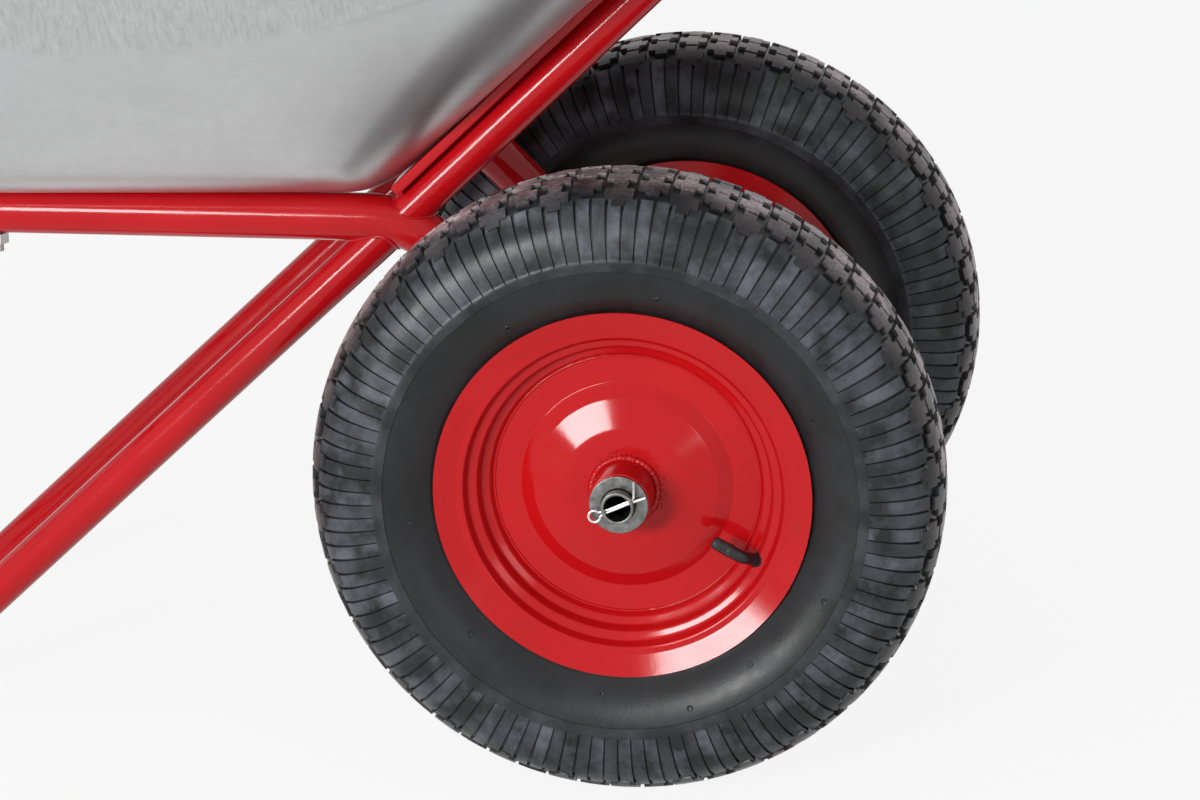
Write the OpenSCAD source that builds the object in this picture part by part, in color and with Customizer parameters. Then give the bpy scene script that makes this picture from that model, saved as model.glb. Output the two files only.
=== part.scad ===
// Two-wheeled builder's wheelbarrow: a pressed steel tub on a welded tube frame,
// two pneumatic wheels on one fixed axle. Millimetres, +X forward, +Y to the
// barrow's left, +Z up. The origin is on the ground below the middle of the object.

/* [Wheels] */
// Outside diameter of the tyre
tyre_d = 390; // [376:1:410]
// Section width of the tyre
tyre_w = 100; // [92:1:106]
// Thickness of the tyre under the tread
tread_t = 11; // [9:0.5:14]
// Thickness of the tyre's side walls
side_t = 5; // [4:0.5:6]
// Diameter over the rim flanges
rim_d = 232; // [226:1:238]
// Width over the rim flanges
rim_w = 72; // [68:1:76]
// Sheet thickness of the rim and the discs
press_t = 2; // [1.5:0.1:2.5]
// Radius of the rim's well, on the side that shows
well_r = 82.5; // [78:0.5:86]
// Distance of the disc's outer ring from the wheel's middle plane
ring_z = 9; // [6:0.5:12]
// How far the disc's dome rises above its outer ring
dome_h = 11; // [8:0.5:14]
// Radius at which the dome starts to rise
dome_r = 66; // [58:1:70]
// Radius of the flat top of the dome
dome_top_r = 36; // [30:1:42]
// Distance between the middle planes of the two wheels
track = 380; // [377:1:410]
// Outside diameter of the hub tube
hub_d = 38; // [36:0.5:42]
// Length of the hub tube
hub_len = 98; // [92:1:104]

/* [Bearings] */
// Wall of the hub tube, whose bore is the rollers' outer race
hub_wall = 3; // [2.5:0.1:3.5]
// Length of each bearing's cage
cage_len = 28; // [22:1:32]
// Number of rollers in each bearing
roller_count = 8; // [6:1:8]
// Running clearance beside each roller
roller_gap = 0.05; // [0.03:0.01:0.08]

/* [Valve] */
// Diameter of the valve stem
stem_d = 7; // [6:0.1:7.5]
// Diameter of the hole in the rim for the valve
valve_hole_d = 10; // [9:0.5:12]
// Angle of the valve round the wheel, from straight ahead and downwards
valve_angle = 28; // [0:1:350]
// Diameter of the valve cap
cap_d = 8.8; // [8.6:0.1:10]
// Length of the valve cap
cap_len = 13; // [11:0.5:16]

/* [Axle] */
// Outside diameter of the axle tube
axle_d = 20; // [19:0.5:21]
// Wall of the axle tube
axle_wall = 1.8; // [1.5:0.1:2.5]
// Length of axle that stands out beyond each outer washer
axle_stub = 7.6; // [6.5:0.1:12]
// Outside diameter of the wheel washers
washer_d = 36; // [32:0.5:38]
// Thickness of the wheel washers
washer_t = 2; // [1.5:0.1:3]
// Play between a hub and each of its washers
hub_play = 0.2; // [0.1:0.05:0.3]
// Outside diameter of the collars welded to the axle inside each wheel
collar_d = 29; // [27:0.5:34]
// Length of those collars, from the main tubes out to the inner washers
collar_len = 5.5; // [4:0.5:12]
// Diameter of the split pin
pin_d = 3; // [2.5:0.1:3.2]
// Angle of the split pin above straight ahead
pin_angle = 24; // [0:1:90]

/* [Frame] */
// Outside diameter of the two main tubes
tube_d = 30; // [28:0.5:32]
// Wall of the main tubes
tube_wall = 1.5; // [1.2:0.1:2.5]
// Height of the main tubes' axis above the axle
deck_h = 144; // [140:1:160]
// Angle at which the main tubes drop to the axle
drop_angle = 45; // [42:1:50]
// Radius of the bend above the axle
front_bend_r = 70; // [60:1:80]
// Diameter of struts, legs and cross tubes
brace_d = 25; // [22:0.5:26]
// Wall of struts, legs and cross tubes
brace_wall = 1.5; // [1.2:0.1:2]
// Distance behind the main tubes' front corners at which the legs and struts meet them
knee_past = 6; // [2:1:10]

/* [Handles] */
// Distance behind the legs' tops at which the main tubes turn up to the handles
handle_past = 53; // [48:1:90]
// Length of each handle from that turn to the tube's end
handle_len = 550; // [480:5:600]
// Angle through which each tube turns up and out
handle_turn = 28; // [24:1:32]
// How far that turn leans outwards from straight up
handle_lean = 31; // [25:1:36]
// Radius of the turn
handle_bend_r = 120; // [90:5:140]
// Length of the grips
grip_len = 125; // [110:1:140]
// Outside diameter of the grips
grip_d = 36; // [34.5:0.5:40]
// Thickness of the closed end of each grip
grip_end_t = 4; // [3:0.5:6]

/* [Legs] */
// Slope of the front of each leg
leg_angle = 43.2; // [42:0.2:46]
// Length of each foot between the corners of its bends
foot_len = 112; // [104:1:125]
// Slope of the rear of each leg
leg_rear_angle = 80; // [76:1:84]
// Radius of the leg's bends
leg_bend_r = 50; // [40:1:54]
// Thickness of the foot plates
foot_plate_t = 4; // [3:0.5:6]
// Length of the foot plates
foot_plate_len = 62; // [50:1:80]
// Width of the foot plates
foot_plate_w = 42; // [36:1:60]
// Diameter of the cross tube between the legs
leg_cross_d = 20; // [16:0.5:22]
// Height of that cross tube above the ground
leg_cross_h = 135; // [90:1:200]

/* [Struts] */
// Slope of the struts and of the tub's front wall
strut_angle = 43.9; // [42:0.2:46]
// Length of each strut from the main tube's axis to the top of the hoop
strut_len = 342; // [320:1:350]
// Radius of the bends at the top of the hoop
strut_bend_r = 55; // [40:1:60]
// Thickness of the flat bars between the struts and the tub
rest_t = 6.5; // [4:0.5:8]
// Width of those bars
rest_w = 30; // [26:1:36]
// Distance of the bars' lower ends from the main tube's axis, along the strut
rest_start = 12; // [10:1:30]
// Length of those bars
rest_len = 288; // [240:1:292]

/* [Tub] */
// Thickness of the tub's sheet
tub_t = 1.2; // [1:0.1:2]
// Length of the floor between the corners of its bends
floor_len = 450; // [400:5:455]
// Distance of the flat floor's front corners inside the main tubes' middles
floor_front_in = 8; // [2:1:14]
// Distance of the flat floor's rear corners outside the main tubes' middles
floor_rear_out = 28; // [22:1:42]
// Radius of the bends round the floor
floor_bend_r = 60; // [50:1:66]
// Height of the rim above the floor
tub_h = 265; // [240:1:280]
// Slope of the rear wall
rear_wall_angle = 58; // [54:1:62]
// Half the tub's width at the rim
rim_y = 310; // [290:1:330]
// Radius of the rim's corners
rim_corner_r = 110; // [90:1:130]
// Radius of the rolled edge
bead_r = 6.5; // [6:0.1:8]
// Radius of the wire inside the rolled edge
wire_r = 4; // [3:0.1:4.4]
// Thickness of the two straps behind the tub
stay_t = 5; // [4:0.5:6]
// Width of those straps
stay_w = 30; // [25:1:40]
// Length of those straps
stay_len = 200; // [190:1:230]
// Distance of each strap inside the main tube's middle
stay_in = 48; // [28:1:68]

/* [Fasteners] */
// Thread diameter of the tub's bolts
bolt_d = 8; // [7:0.5:8]
// Diameter of the bolt heads
bolt_head_d = 17; // [15:0.5:18]
// Height of the bolt heads
bolt_head_h = 4; // [3:0.5:5]
// Width across the flats of the nuts
nut_w = 13; // [12:0.5:14]
// Height of the nuts
nut_h = 6.5; // [5:0.5:8]
// Diameter of the washers inside the tub
big_washer_d = 22; // [20:0.5:24]
// Thickness of the washers inside the tub
big_washer_t = 1.6; // [1.2:0.1:2]
// Distance behind the axle of the front pair of floor bolts
floor_bolt_front = 410; // [405:1:440]
// Distance behind the axle of the rear pair of floor bolts
floor_bolt_rear = 550; // [500:1:555]

/* [Hidden] */
$fn = 64;
RIGHT = -1;
LEFT = 1;

// Gaps: between welded pieces, between seated pieces, and round a bolt in its hole.
weld_gap = 0.1;
seat_gap = 0.3;
bolt_gap = 0.25;
hull_fn = 32;
// How much thinner a bend is than its tube, all round.
draw = 0.02;

tyre_r = tyre_d / 2;
axle_r = axle_d / 2;
tube_r = tube_d / 2;
brace_r = brace_d / 2;

// To a hundredth of a millimetre, so that pieces laid end to end meet exactly.
function tidy(x) = round(x * 100) / 100;

// To an eighth of a millimetre. Sums of such lengths have no error at all, so
// the pieces of the rim's edge meet face to face.
function exact(x) = round(x * 8) / 8;

// Heights and distances from here on are measured from the axle's middle.
foot_z = -tyre_r + foot_plate_t + weld_gap + brace_r;
drop_back = deck_h / tan(drop_angle);
knee_back = tidy(drop_back + knee_past);
front_tangent = front_bend_r * tan(drop_angle / 2);

// The legs: a straight front, a short level foot and a steep rear.
foot_front_x = -knee_back - (deck_h - foot_z) / tan(leg_angle);
foot_rear_x = foot_front_x - foot_len;
leg_top_x = foot_rear_x - (deck_h - foot_z) / tan(leg_rear_angle);
leg_front_tangent = leg_bend_r * tan(leg_angle / 2);
leg_rear_tangent = leg_bend_r * tan(leg_rear_angle / 2);

handle_back = round(handle_past - leg_top_x);
handle_tangent = handle_bend_r * tan(handle_turn / 2);
deck_len = handle_back - handle_tangent - drop_back - front_tangent;
handle_dx = cos(handle_turn);
grip_round = 3;
rear_reach = handle_back + handle_dx * (handle_len + seat_gap + grip_end_t - grip_round)
    + sin(handle_turn) * (grip_d / 2 - grip_round) + grip_round;
axle_x = round(rear_reach - tyre_r) / 2;

// The tub's planes. The front wall lies on the rest bars, the floor on the main tubes.
floor_z = deck_h + tube_r + seat_gap;
rim_z = floor_z + tub_h;
wall_off = brace_r + weld_gap + rest_t + seat_gap;
floor_front_x = -knee_back
    + ((floor_z - deck_h) * cos(strut_angle) - wall_off) / sin(strut_angle);
floor_rear_x = floor_front_x - floor_len;
rim_front_x = exact(floor_front_x + tub_h / tan(strut_angle));
rim_rear_x = exact(floor_rear_x - tub_h / tan(rear_wall_angle));
stay_off = seat_gap + stay_t + weld_gap + brace_r;
rear_cross_x = floor_rear_x
    - (stay_off - (floor_z - deck_h) * cos(rear_wall_angle)) / sin(rear_wall_angle);

// The wheel, along its own axis: z is the distance outwards from its middle plane.
flange_r = rim_d / 2;
flange_z = rim_w / 2;
seat_r = flange_r - 15;
hub_bore_r = hub_d / 2 - hub_wall;
roller_r = (hub_bore_r - axle_r) / 2 - roller_gap;
roller_pitch_r = (hub_bore_r + axle_r) / 2;
roller_len = cage_len - 4;
cage_inset = 1;
washer_z = hub_len / 2 + hub_play;
pin_z = washer_z + washer_t + axle_stub / 2;
axle_len = track + 2 * (washer_z + washer_t + axle_stub);
collar_y = track / 2 - washer_z - washer_t - hub_play;
tube_y = tidy(collar_y - collar_len - weld_gap - tube_r);
floor_front_y = tube_y - floor_front_in;
floor_rear_y = tube_y + floor_rear_out;
stay_y = tube_y - stay_in;
stem_tilt = 45;
stem_out = 10;
stem_bend_r = 8;
stem_reach = 13;

// ---------------------------------------------------------------- helpers

// Moves a piece from the axle's middle to its place over the ground.
module on_axle() translate([axle_x, 0, tyre_r]) children();

// Pieces are drawn on the right and mirrored for the left.
module on_side(side) mirror([0, side == LEFT ? 1 : 0, 0]) children();

// The four bolts through the floor are two pairs, one in each main tube.
module each_side() {
    on_side(RIGHT) children();
    on_side(LEFT) children();
}

module ring(d, wall) {
    difference() {
        circle(d = d);
        if (2 * wall < d) circle(d = d - 2 * wall);
    }
}

// A bend from the origin on along +X, turning towards +Z. A bend draws the tube
// down by a hair, and each end of it runs on a little inside the straight there.
module bend(radius, angle, d, wall) {
    over = sqrt(radius * draw) / radius * 180 / PI;
    translate([0, 0, radius]) rotate([0, 90, -90]) rotate(-over)
        rotate_extrude(angle = angle + 2 * over) translate([radius, 0])
            ring(d - 2 * draw, wall - 2 * draw);
}

// A tube laid along +X as a list of steps: straight length, twist about the
// heading, bend radius and bend angle. Each bend turns towards the local +Z.
module tube_run(steps, d, wall, i = 0) {
    length = steps[i][0];
    twist = steps[i][1];
    radius = steps[i][2];
    angle = steps[i][3];
    rotate([0, 90, 0]) linear_extrude(length) ring(d, wall);
    if (angle > 0) translate([length, 0, 0]) rotate([twist, 0, 0]) {
        bend(radius, angle, d, wall);
        if (i + 1 < len(steps))
            translate([0, 0, radius]) rotate([0, -angle, 0]) translate([0, 0, -radius])
                tube_run(steps, d, wall, i + 1);
    }
}

// ---------------------------------------------------------------- main tubes

drop_len = deck_h / sin(drop_angle) - front_tangent;
main_steps = [
    [drop_len, 180, front_bend_r, drop_angle],
    [deck_len, 180 - handle_lean, handle_bend_r, handle_turn],
    [handle_len - handle_tangent, 0, 0, 0]
];

// Stands at the axle and runs up and back; the right-hand tube.
module main_run(d, wall) {
    translate([0, -tube_y, 0]) rotate([0, -drop_angle, 180]) tube_run(main_steps, d, wall);
}

// The two solids that a piece welded to a main tube is cut back by. They lap.
module deck_cutter() {
    start = drop_back + front_tangent - 2;
    translate([-start, -tube_y, deck_h]) rotate([0, -90, 0])
        cylinder(r = tube_r + weld_gap, h = handle_back - handle_tangent - start);
}

module bend_cutter() {
    translate([-drop_back - front_tangent, -tube_y, deck_h - front_bend_r]) rotate([90, 0, 0])
        rotate(90 - drop_angle) rotate_extrude(angle = drop_angle) translate([front_bend_r, 0])
            circle(r = tube_r + weld_gap);
}

module main_tube(side) {
    color("#c8141a") on_axle() on_side(side) difference() {
        main_run(tube_d, tube_wall);
        rotate([90, 0, 0]) cylinder(r = axle_r + weld_gap, h = 2 * track, center = true);
        for (back = [floor_bolt_front, floor_bolt_rear])
            translate([-back, -tube_y, deck_h])
                cylinder(d = bolt_d + 2 * bolt_gap, h = 2 * tube_d, center = true);
    }
}

// The end of the right-hand main tube, with +X on along the tube.
module at_handle_end() {
    translate([-handle_back, -tube_y, deck_h]) rotate([handle_lean, 0, 0])
        rotate([0, -handle_turn, 180]) translate([handle_len, 0, 0]) children();
}

module grip(side) {
    rib = 1.2;
    pitch = 14;
    color("#161616") on_axle() on_side(side) at_handle_end() rotate([0, -90, 0]) difference() {
        translate([0, 0, -grip_end_t - seat_gap]) union() {
            rotate_extrude() {
                translate([0, grip_round])
                    square([grip_d / 2 - rib, grip_len - 2 * grip_round]);
                for (z = [grip_round : pitch : grip_len - pitch])
                    translate([0, z]) square([grip_d / 2, pitch * 0.6]);
                square([grip_d / 2 - grip_round, grip_round]);
                translate([grip_d / 2 - grip_round, grip_round])
                    circle(r = grip_round);
                translate([0, grip_len - grip_round])
                    square([grip_d / 2 + rib, grip_round]);
            }
        }
        cylinder(d = tube_d + 2 * seat_gap, h = 2 * grip_len);
    }
}

// ---------------------------------------------------------------- legs

leg_front_len = (deck_h - foot_z) / sin(leg_angle) - leg_front_tangent;
leg_rear_len = (deck_h - foot_z) / sin(leg_rear_angle) - leg_rear_tangent;
leg_steps = [
    [leg_front_len, 0, leg_bend_r, leg_angle],
    [foot_len - leg_front_tangent - leg_rear_tangent, 0, leg_bend_r, leg_rear_angle],
    [leg_rear_len, 0, 0, 0]
];

module leg_run(d, wall) {
    translate([-knee_back, -tube_y, deck_h]) rotate([0, leg_angle, 180])
        tube_run(leg_steps, d, wall);
}

module leg(side) {
    color("#c8141a") on_axle() on_side(side) difference() {
        leg_run(brace_d, brace_wall);
        deck_cutter();
        bend_cutter();
    }
}

module foot_plate(side) {
    middle = (foot_front_x - leg_front_tangent + foot_rear_x + leg_rear_tangent) / 2;
    color("#b81218") on_axle() on_side(side)
        translate([middle - foot_plate_len / 2, -tube_y - foot_plate_w / 2, -tyre_r])
            cube([foot_plate_len, foot_plate_w, foot_plate_t]);
}

module leg_cross_tube() {
    back = -foot_rear_x + (leg_cross_h - tyre_r - foot_z) / tan(leg_rear_angle);
    color("#c8141a") on_axle() difference() {
        translate([-back, tube_y, leg_cross_h - tyre_r]) rotate([90, 0, 0])
            linear_extrude(2 * tube_y) ring(leg_cross_d, brace_wall);
        each_side() translate([-back, -tube_y, leg_cross_h - tyre_r])
            rotate([0, leg_rear_angle - 90, 0])
                cylinder(r = brace_r + weld_gap, h = 3 * leg_cross_d, center = true);
    }
}

module rear_cross_tube() {
    color("#c8141a") on_axle() difference() {
        translate([rear_cross_x, tube_y, deck_h]) rotate([90, 0, 0])
            linear_extrude(2 * tube_y) ring(brace_d, brace_wall);
        each_side() translate([rear_cross_x, -tube_y, deck_h]) rotate([0, 90, 0])
            cylinder(r = tube_r + weld_gap, h = 3 * brace_d, center = true);
    }
}

// ---------------------------------------------------------------- struts

// Along a strut: +X up the strut from the main tube's axis, +Z towards the tub.
module along_strut() {
    translate([-knee_back, 0, deck_h]) rotate([0, -strut_angle, 0]) children();
}

strut_bolt_s = rest_start + rest_len - 14;

// The bolt holes down through the rest bar and the strut.
module strut_bolt_hole() {
    translate([strut_bolt_s, -tube_y, 0])
        cylinder(d = bolt_d + 2 * bolt_gap, h = 4 * brace_d, center = true);
}

// One tube bent twice: up from one main tube, across the front and down again.
module front_hoop() {
    steps = [
        [strut_len - strut_bend_r, -90, strut_bend_r, 90],
        [2 * (tube_y - strut_bend_r), 0, strut_bend_r, 90],
        [strut_len - strut_bend_r, 0, 0, 0]
    ];
    color("#c8141a") on_axle() difference() {
        along_strut() translate([0, -tube_y, 0]) tube_run(steps, brace_d, brace_wall);
        each_side() deck_cutter();
        each_side() bend_cutter();
        each_side() along_strut() strut_bolt_hole();
    }
}

module rest_bar(side) {
    color("#d01a20") on_axle() on_side(side) along_strut() difference() {
        translate([rest_start, -tube_y - rest_w / 2, brace_r + weld_gap])
            cube([rest_len, rest_w, rest_t]);
        strut_bolt_hole();
    }
}

// Along a strap behind the tub: +X up the rear wall, +Z away from the tub.
module along_rear_wall() {
    translate([floor_rear_x, 0, floor_z]) rotate([0, 180 + rear_wall_angle, 0]) children();
}

stay_start = -6;
stay_bolt_s = stay_start + stay_len - 16;

module stay_bolt_hole() {
    translate([stay_bolt_s, -stay_y, 0])
        cylinder(d = bolt_d + 2 * bolt_gap, h = 6 * stay_t, center = true);
}

module rear_stay(side) {
    color("#c8141a") on_axle() on_side(side) along_rear_wall() difference() {
        translate([stay_start, -stay_y - stay_w / 2, seat_gap])
            cube([stay_len, stay_w, stay_t]);
        stay_bolt_hole();
    }
}

// ---------------------------------------------------------------- tub

// A ball whose facets reach its full radius above and below.
module ball(r) sphere(r = r / cos(180 / hull_fn), $fn = hull_fn);

// One skin of the tub, inset from its outside.
module tub_skin(inset, top) {
    bend = floor_bend_r - inset;
    corner = rim_corner_r - inset;
    front = floor_front_x - floor_bend_r * tan(strut_angle / 2);
    rear = floor_rear_x + floor_bend_r * tan(rear_wall_angle / 2);
    hull() {
        for (y = [-1, 1]) {
            translate([front, y * floor_front_y, floor_z + floor_bend_r]) ball(bend);
            translate([rear, y * floor_rear_y, floor_z + floor_bend_r]) ball(bend);
            for (x = [rim_front_x - rim_corner_r, rim_rear_x + rim_corner_r])
                translate([x, y * (rim_y - rim_corner_r), rim_z])
                    cylinder(r = corner, h = top, $fn = 2 * hull_fn);
        }
    }
}

// A round section carried round the rim, centred just outside the wall.
module rim_loop(r, hole = 0) {
    off = bead_r - tub_t / 2;
    x_front = rim_front_x - rim_corner_r;
    x_rear = rim_rear_x + rim_corner_r;
    y_in = rim_y - rim_corner_r;
    module section() difference() {
        circle(r = r);
        if (hole > 0) circle(r = hole);
    }
    translate([0, 0, rim_z]) {
        for (y = [-1, 1]) {
            translate([x_rear, y * (rim_y + off), 0]) rotate([0, 90, 0])
                linear_extrude(x_front - x_rear) section();
            translate([x_front, y * y_in, 0]) rotate([0, 0, y < 0 ? -90 : 0])
                rotate_extrude(angle = 90) translate([rim_corner_r + off, 0]) section();
            translate([x_rear, y * y_in, 0]) rotate([0, 0, y < 0 ? 180 : 90])
                rotate_extrude(angle = 90) translate([rim_corner_r + off, 0]) section();
        }
        for (x = [x_front + rim_corner_r + off, x_rear - rim_corner_r - off])
            translate([x, y_in, 0]) rotate([90, 0, 0]) linear_extrude(2 * y_in) section();
    }
}

module tub() {
    color("#b4b8bb") on_axle() difference() {
        union() {
            difference() {
                tub_skin(0, 0.01);
                tub_skin(tub_t, 1);
            }
            rim_loop(bead_r, wire_r + weld_gap);
        }
        each_side() {
            for (back = [floor_bolt_front, floor_bolt_rear])
                translate([-back, -tube_y, floor_z])
                    cylinder(d = bolt_d + 2 * bolt_gap, h = 8 * tub_t, center = true);
            along_strut() translate([0, 0, wall_off]) translate([strut_bolt_s, -tube_y, 0])
                cylinder(d = bolt_d + 2 * bolt_gap, h = 8 * tub_t, center = true);
            along_rear_wall() stay_bolt_hole();
        }
    }
}

module rim_wire() {
    color("#8c8c8c") on_axle() rim_loop(wire_r);
}

// ---------------------------------------------------------------- fasteners

// A bolt whose head's underside is at z = 0 and whose shank runs down.
module bolt(length) {
    translate([0, 0, -length]) cylinder(d = bolt_d, h = length);
    intersection() {
        cylinder(d = bolt_head_d, h = bolt_head_h);
        translate([0, 0, bolt_head_h - bolt_head_d]) sphere(r = bolt_head_d);
    }
}

module big_washer() {
    difference() {
        cylinder(d = big_washer_d, h = big_washer_t);
        cylinder(d = bolt_d + 2 * bolt_gap, h = 3 * big_washer_t, center = true);
    }
}

module nut() {
    difference() {
        cylinder(d = nut_w / cos(30), h = nut_h, $fn = 6);
        cylinder(d = bolt_d + 0.1, h = 3 * nut_h, center = true);
    }
}

// Puts children on the tub's inside face over a bolt hole, +Z into the tub.
module at_floor_bolts() {
    each_side() for (back = [floor_bolt_front, floor_bolt_rear])
        translate([-back, -tube_y, floor_z + tub_t + weld_gap]) children();
}

module at_strut_bolts() {
    each_side() along_strut()
        translate([strut_bolt_s, -tube_y, wall_off + tub_t + weld_gap]) children();
}

module at_stay_bolts() {
    each_side() along_rear_wall() translate([stay_bolt_s, -stay_y, -tub_t - weld_gap])
        mirror([0, 0, 1]) children();
}

// From the tub's inside face to the far side of what each bolt holds.
floor_grip = tub_t + 2 * seat_gap + tube_d;
strut_grip = wall_off + tub_t + brace_r + 2 * weld_gap;
stay_grip = tub_t + seat_gap + stay_t + 2 * weld_gap;
bolt_tail = 4;
bolt_seat = big_washer_t + weld_gap;

module tub_bolts() {
    length = bolt_seat + max(floor_grip, strut_grip) + nut_h + bolt_tail;
    color("#9a9da0") on_axle() {
        at_floor_bolts() translate([0, 0, bolt_seat]) bolt(length);
        at_strut_bolts() translate([0, 0, bolt_seat]) bolt(length);
    }
}

module stay_bolts() {
    color("#9a9da0") on_axle() at_stay_bolts() translate([0, 0, bolt_seat])
        bolt(bolt_seat + stay_grip + nut_h + bolt_tail);
}

module tub_washers() {
    color("#a5a8ab") on_axle() {
        at_floor_bolts() big_washer();
        at_strut_bolts() big_washer();
        at_stay_bolts() big_washer();
    }
}

module tub_nuts() {
    color("#9a9da0") on_axle() {
        at_floor_bolts() translate([0, 0, -floor_grip - weld_gap - nut_h]) nut();
        at_strut_bolts() translate([0, 0, -strut_grip - weld_gap - nut_h]) nut();
        at_stay_bolts() translate([0, 0, -stay_grip - weld_gap - nut_h]) nut();
    }
}

// ---------------------------------------------------------------- axle

module axle() {
    color("#8f8f8f") on_axle() difference() {
        rotate([90, 0, 0]) linear_extrude(axle_len, center = true) ring(axle_d, axle_wall);
        each_side() at_pin() cylinder(d = pin_d + 0.5, h = 2 * axle_d, center = true);
    }
}

// The right-hand split pin's hole, +Z along it and up to the front.
module at_pin() {
    translate([0, -track / 2 - pin_z, 0]) rotate([0, 90 - pin_angle, 0]) children();
}

// Each collar is welded to the axle between a main tube and the inner washer.
module axle_collars() {
    color("#7d7d7d") on_axle() each_side() translate([0, -collar_y, 0]) rotate([-90, 0, 0])
        linear_extrude(collar_len) ring(collar_d, collar_d / 2 - axle_r - weld_gap);
}

module hub_washers() {
    color("#8a8a88") on_axle() each_side()
        for (z = [-washer_z - washer_t, washer_z])
            translate([0, -track / 2 + z, 0]) rotate([-90, 0, 0])
                linear_extrude(washer_t) ring(washer_d, washer_d / 2 - axle_r - 0.5);
}

// Two legs side by side through the hole, an eye at one end, one leg bent up.
module split_pin() {
    eye_r = 3.6;
    eye_wire = 0.9;
    reach = axle_r + 2;
    cylinder(d = pin_d, h = 2 * reach, center = true);
    translate([0, 0, -reach - eye_r]) rotate([90, 0, 0]) rotate_extrude()
        translate([eye_r, 0]) circle(r = eye_wire);
    translate([0, 0, reach - 1]) cylinder(r = eye_wire, h = 7);
    translate([0, 0, reach - 1]) rotate([0, -66, 0]) cylinder(r = eye_wire, h = 12);
}

module split_pins() {
    color("#c9c9c4") on_axle() each_side() at_pin() split_pin();
}

// ---------------------------------------------------------------- wheels

// The right-hand wheel's own axis, +Z outwards; +X stays forward.
module on_wheel(side) {
    on_axle() on_side(side) translate([0, -track / 2, 0]) rotate([90, 0, 0]) children();
}

// One side of a superellipse arch from its crown down to its waist and on to a
// narrower foot: points [z, r] from the middle plane outwards.
function arch(mid_r, half_w, rise, drop, foot_r, n = 14) = concat(
    [for (i = [0 : n]) let(a = 90 * (1 - i / n))
        [half_w * pow(cos(a), 0.74), mid_r + rise * pow(sin(a), 0.74)]],
    [for (i = [1 : n]) let(r = mid_r - (mid_r - foot_r) * i / n)
        [half_w * sqrt(1 - pow((mid_r - r) / drop, 2)), r]]
);

// The same points on the other side, in reverse, without those on the middle plane.
function flip(points) = [for (i = [len(points) - 1 : -1 : 0]) if (points[i][0] > 0)
    [-points[i][0], points[i][1]]];
function swap(points) = [for (p = points) [p[1], p[0]]];

mid_r = flange_r + (tyre_r - flange_r) * 0.44;
cavity_r = tyre_r - tread_t;
tyre_out = arch(mid_r, tyre_w / 2, tyre_r - mid_r, (mid_r - flange_r) * 1.33, flange_r + 3);
tyre_in = arch(mid_r, tyre_w / 2 - side_t, cavity_r - mid_r, (mid_r - flange_r) * 1.28,
    flange_r + 1.5);
// The bead, just inside the rim's flange and seat.
bead_z = flange_z - press_t - seat_gap;
bead_foot = [[bead_z, flange_r + 0.8], [bead_z - 1.8, flange_r - 5],
    [bead_z - 2.8, seat_r + 1.6], [bead_z - 3.2, seat_r - 0.1], [bead_z - 11.5, seat_r - 2.3],
    [bead_z - 13, seat_r], [bead_z - 13, seat_r + 6]];

module tyre(side) {
    n_in = len(tyre_in) - 1;
    back = [for (i = [n_in : -1 : 0]) tyre_in[i]];
    half = concat(tyre_out, bead_foot, back);
    color("#1c1d20") on_wheel(side) rotate_extrude() polygon(swap(concat(half, flip(half))));
}

// The tube stands just clear of the tyre all round and of the beads below.
tube_gap = 0.3;
tube_mid_r = mid_r;
tube_half_w = tyre_w / 2 - side_t - tube_gap;
tube_skin = 2;
tube_low_r = flange_r + 1.5;

module inner_tube(side) {
    outer = arch(tube_mid_r, tube_half_w, cavity_r - mid_r - tube_gap,
        (mid_r - flange_r) * 1.28, tube_low_r);
    inner = arch(tube_mid_r, tube_half_w - tube_skin, cavity_r - mid_r - tube_gap - tube_skin,
        (mid_r - flange_r) * 1.24, tube_low_r + tube_skin);
    color("#2a2a2c") on_wheel(side) difference() {
        rotate_extrude() difference() {
            polygon(swap(concat(outer, flip(outer))));
            polygon(swap(concat(inner, flip(inner))));
        }
        at_stem() cylinder(d = stem_d + 2 * weld_gap, h = 2 * stem_foot, center = true);
    }
}

// The side of the rim that shows, from the flange's edge in to the well.
rim_face = [
    [flange_z, flange_r], [flange_z - 1.8, flange_r - 5], [flange_z - 2.8, seat_r],
    [flange_z - 3.2, seat_r - 2.5], [flange_z - 12, seat_r - 4.5],
    [flange_z - 14, seat_r - 10], [flange_z - 21, seat_r - 11.5],
    [flange_z - 23, well_r + 2.2], [ring_z, well_r]
];
// Which way the sheet's other side lies from each of those points: [z, r].
rim_back = [
    [-1, 0], [-1, 0], [-1, 0.4], [-0.6, 1], [-0.7, 0.8], [-0.8, 0.7], [-0.7, 0.8],
    [-0.7, 0.8], [-0.2, 1]
];

module rim(side) {
    n = len(rim_face) - 1;
    half = concat([[0, well_r]], [for (i = [n : -1 : 0]) rim_face[i]],
        [for (i = [0 : n]) rim_face[i] + press_t * rim_back[i]], [[0, well_r + press_t]]);
    color("#cf171c") on_wheel(side) difference() {
        rotate_extrude() polygon(swap(concat(half, flip(half))));
        at_stem() cylinder(d = valve_hole_d, h = 40, center = true);
    }
}

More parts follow.
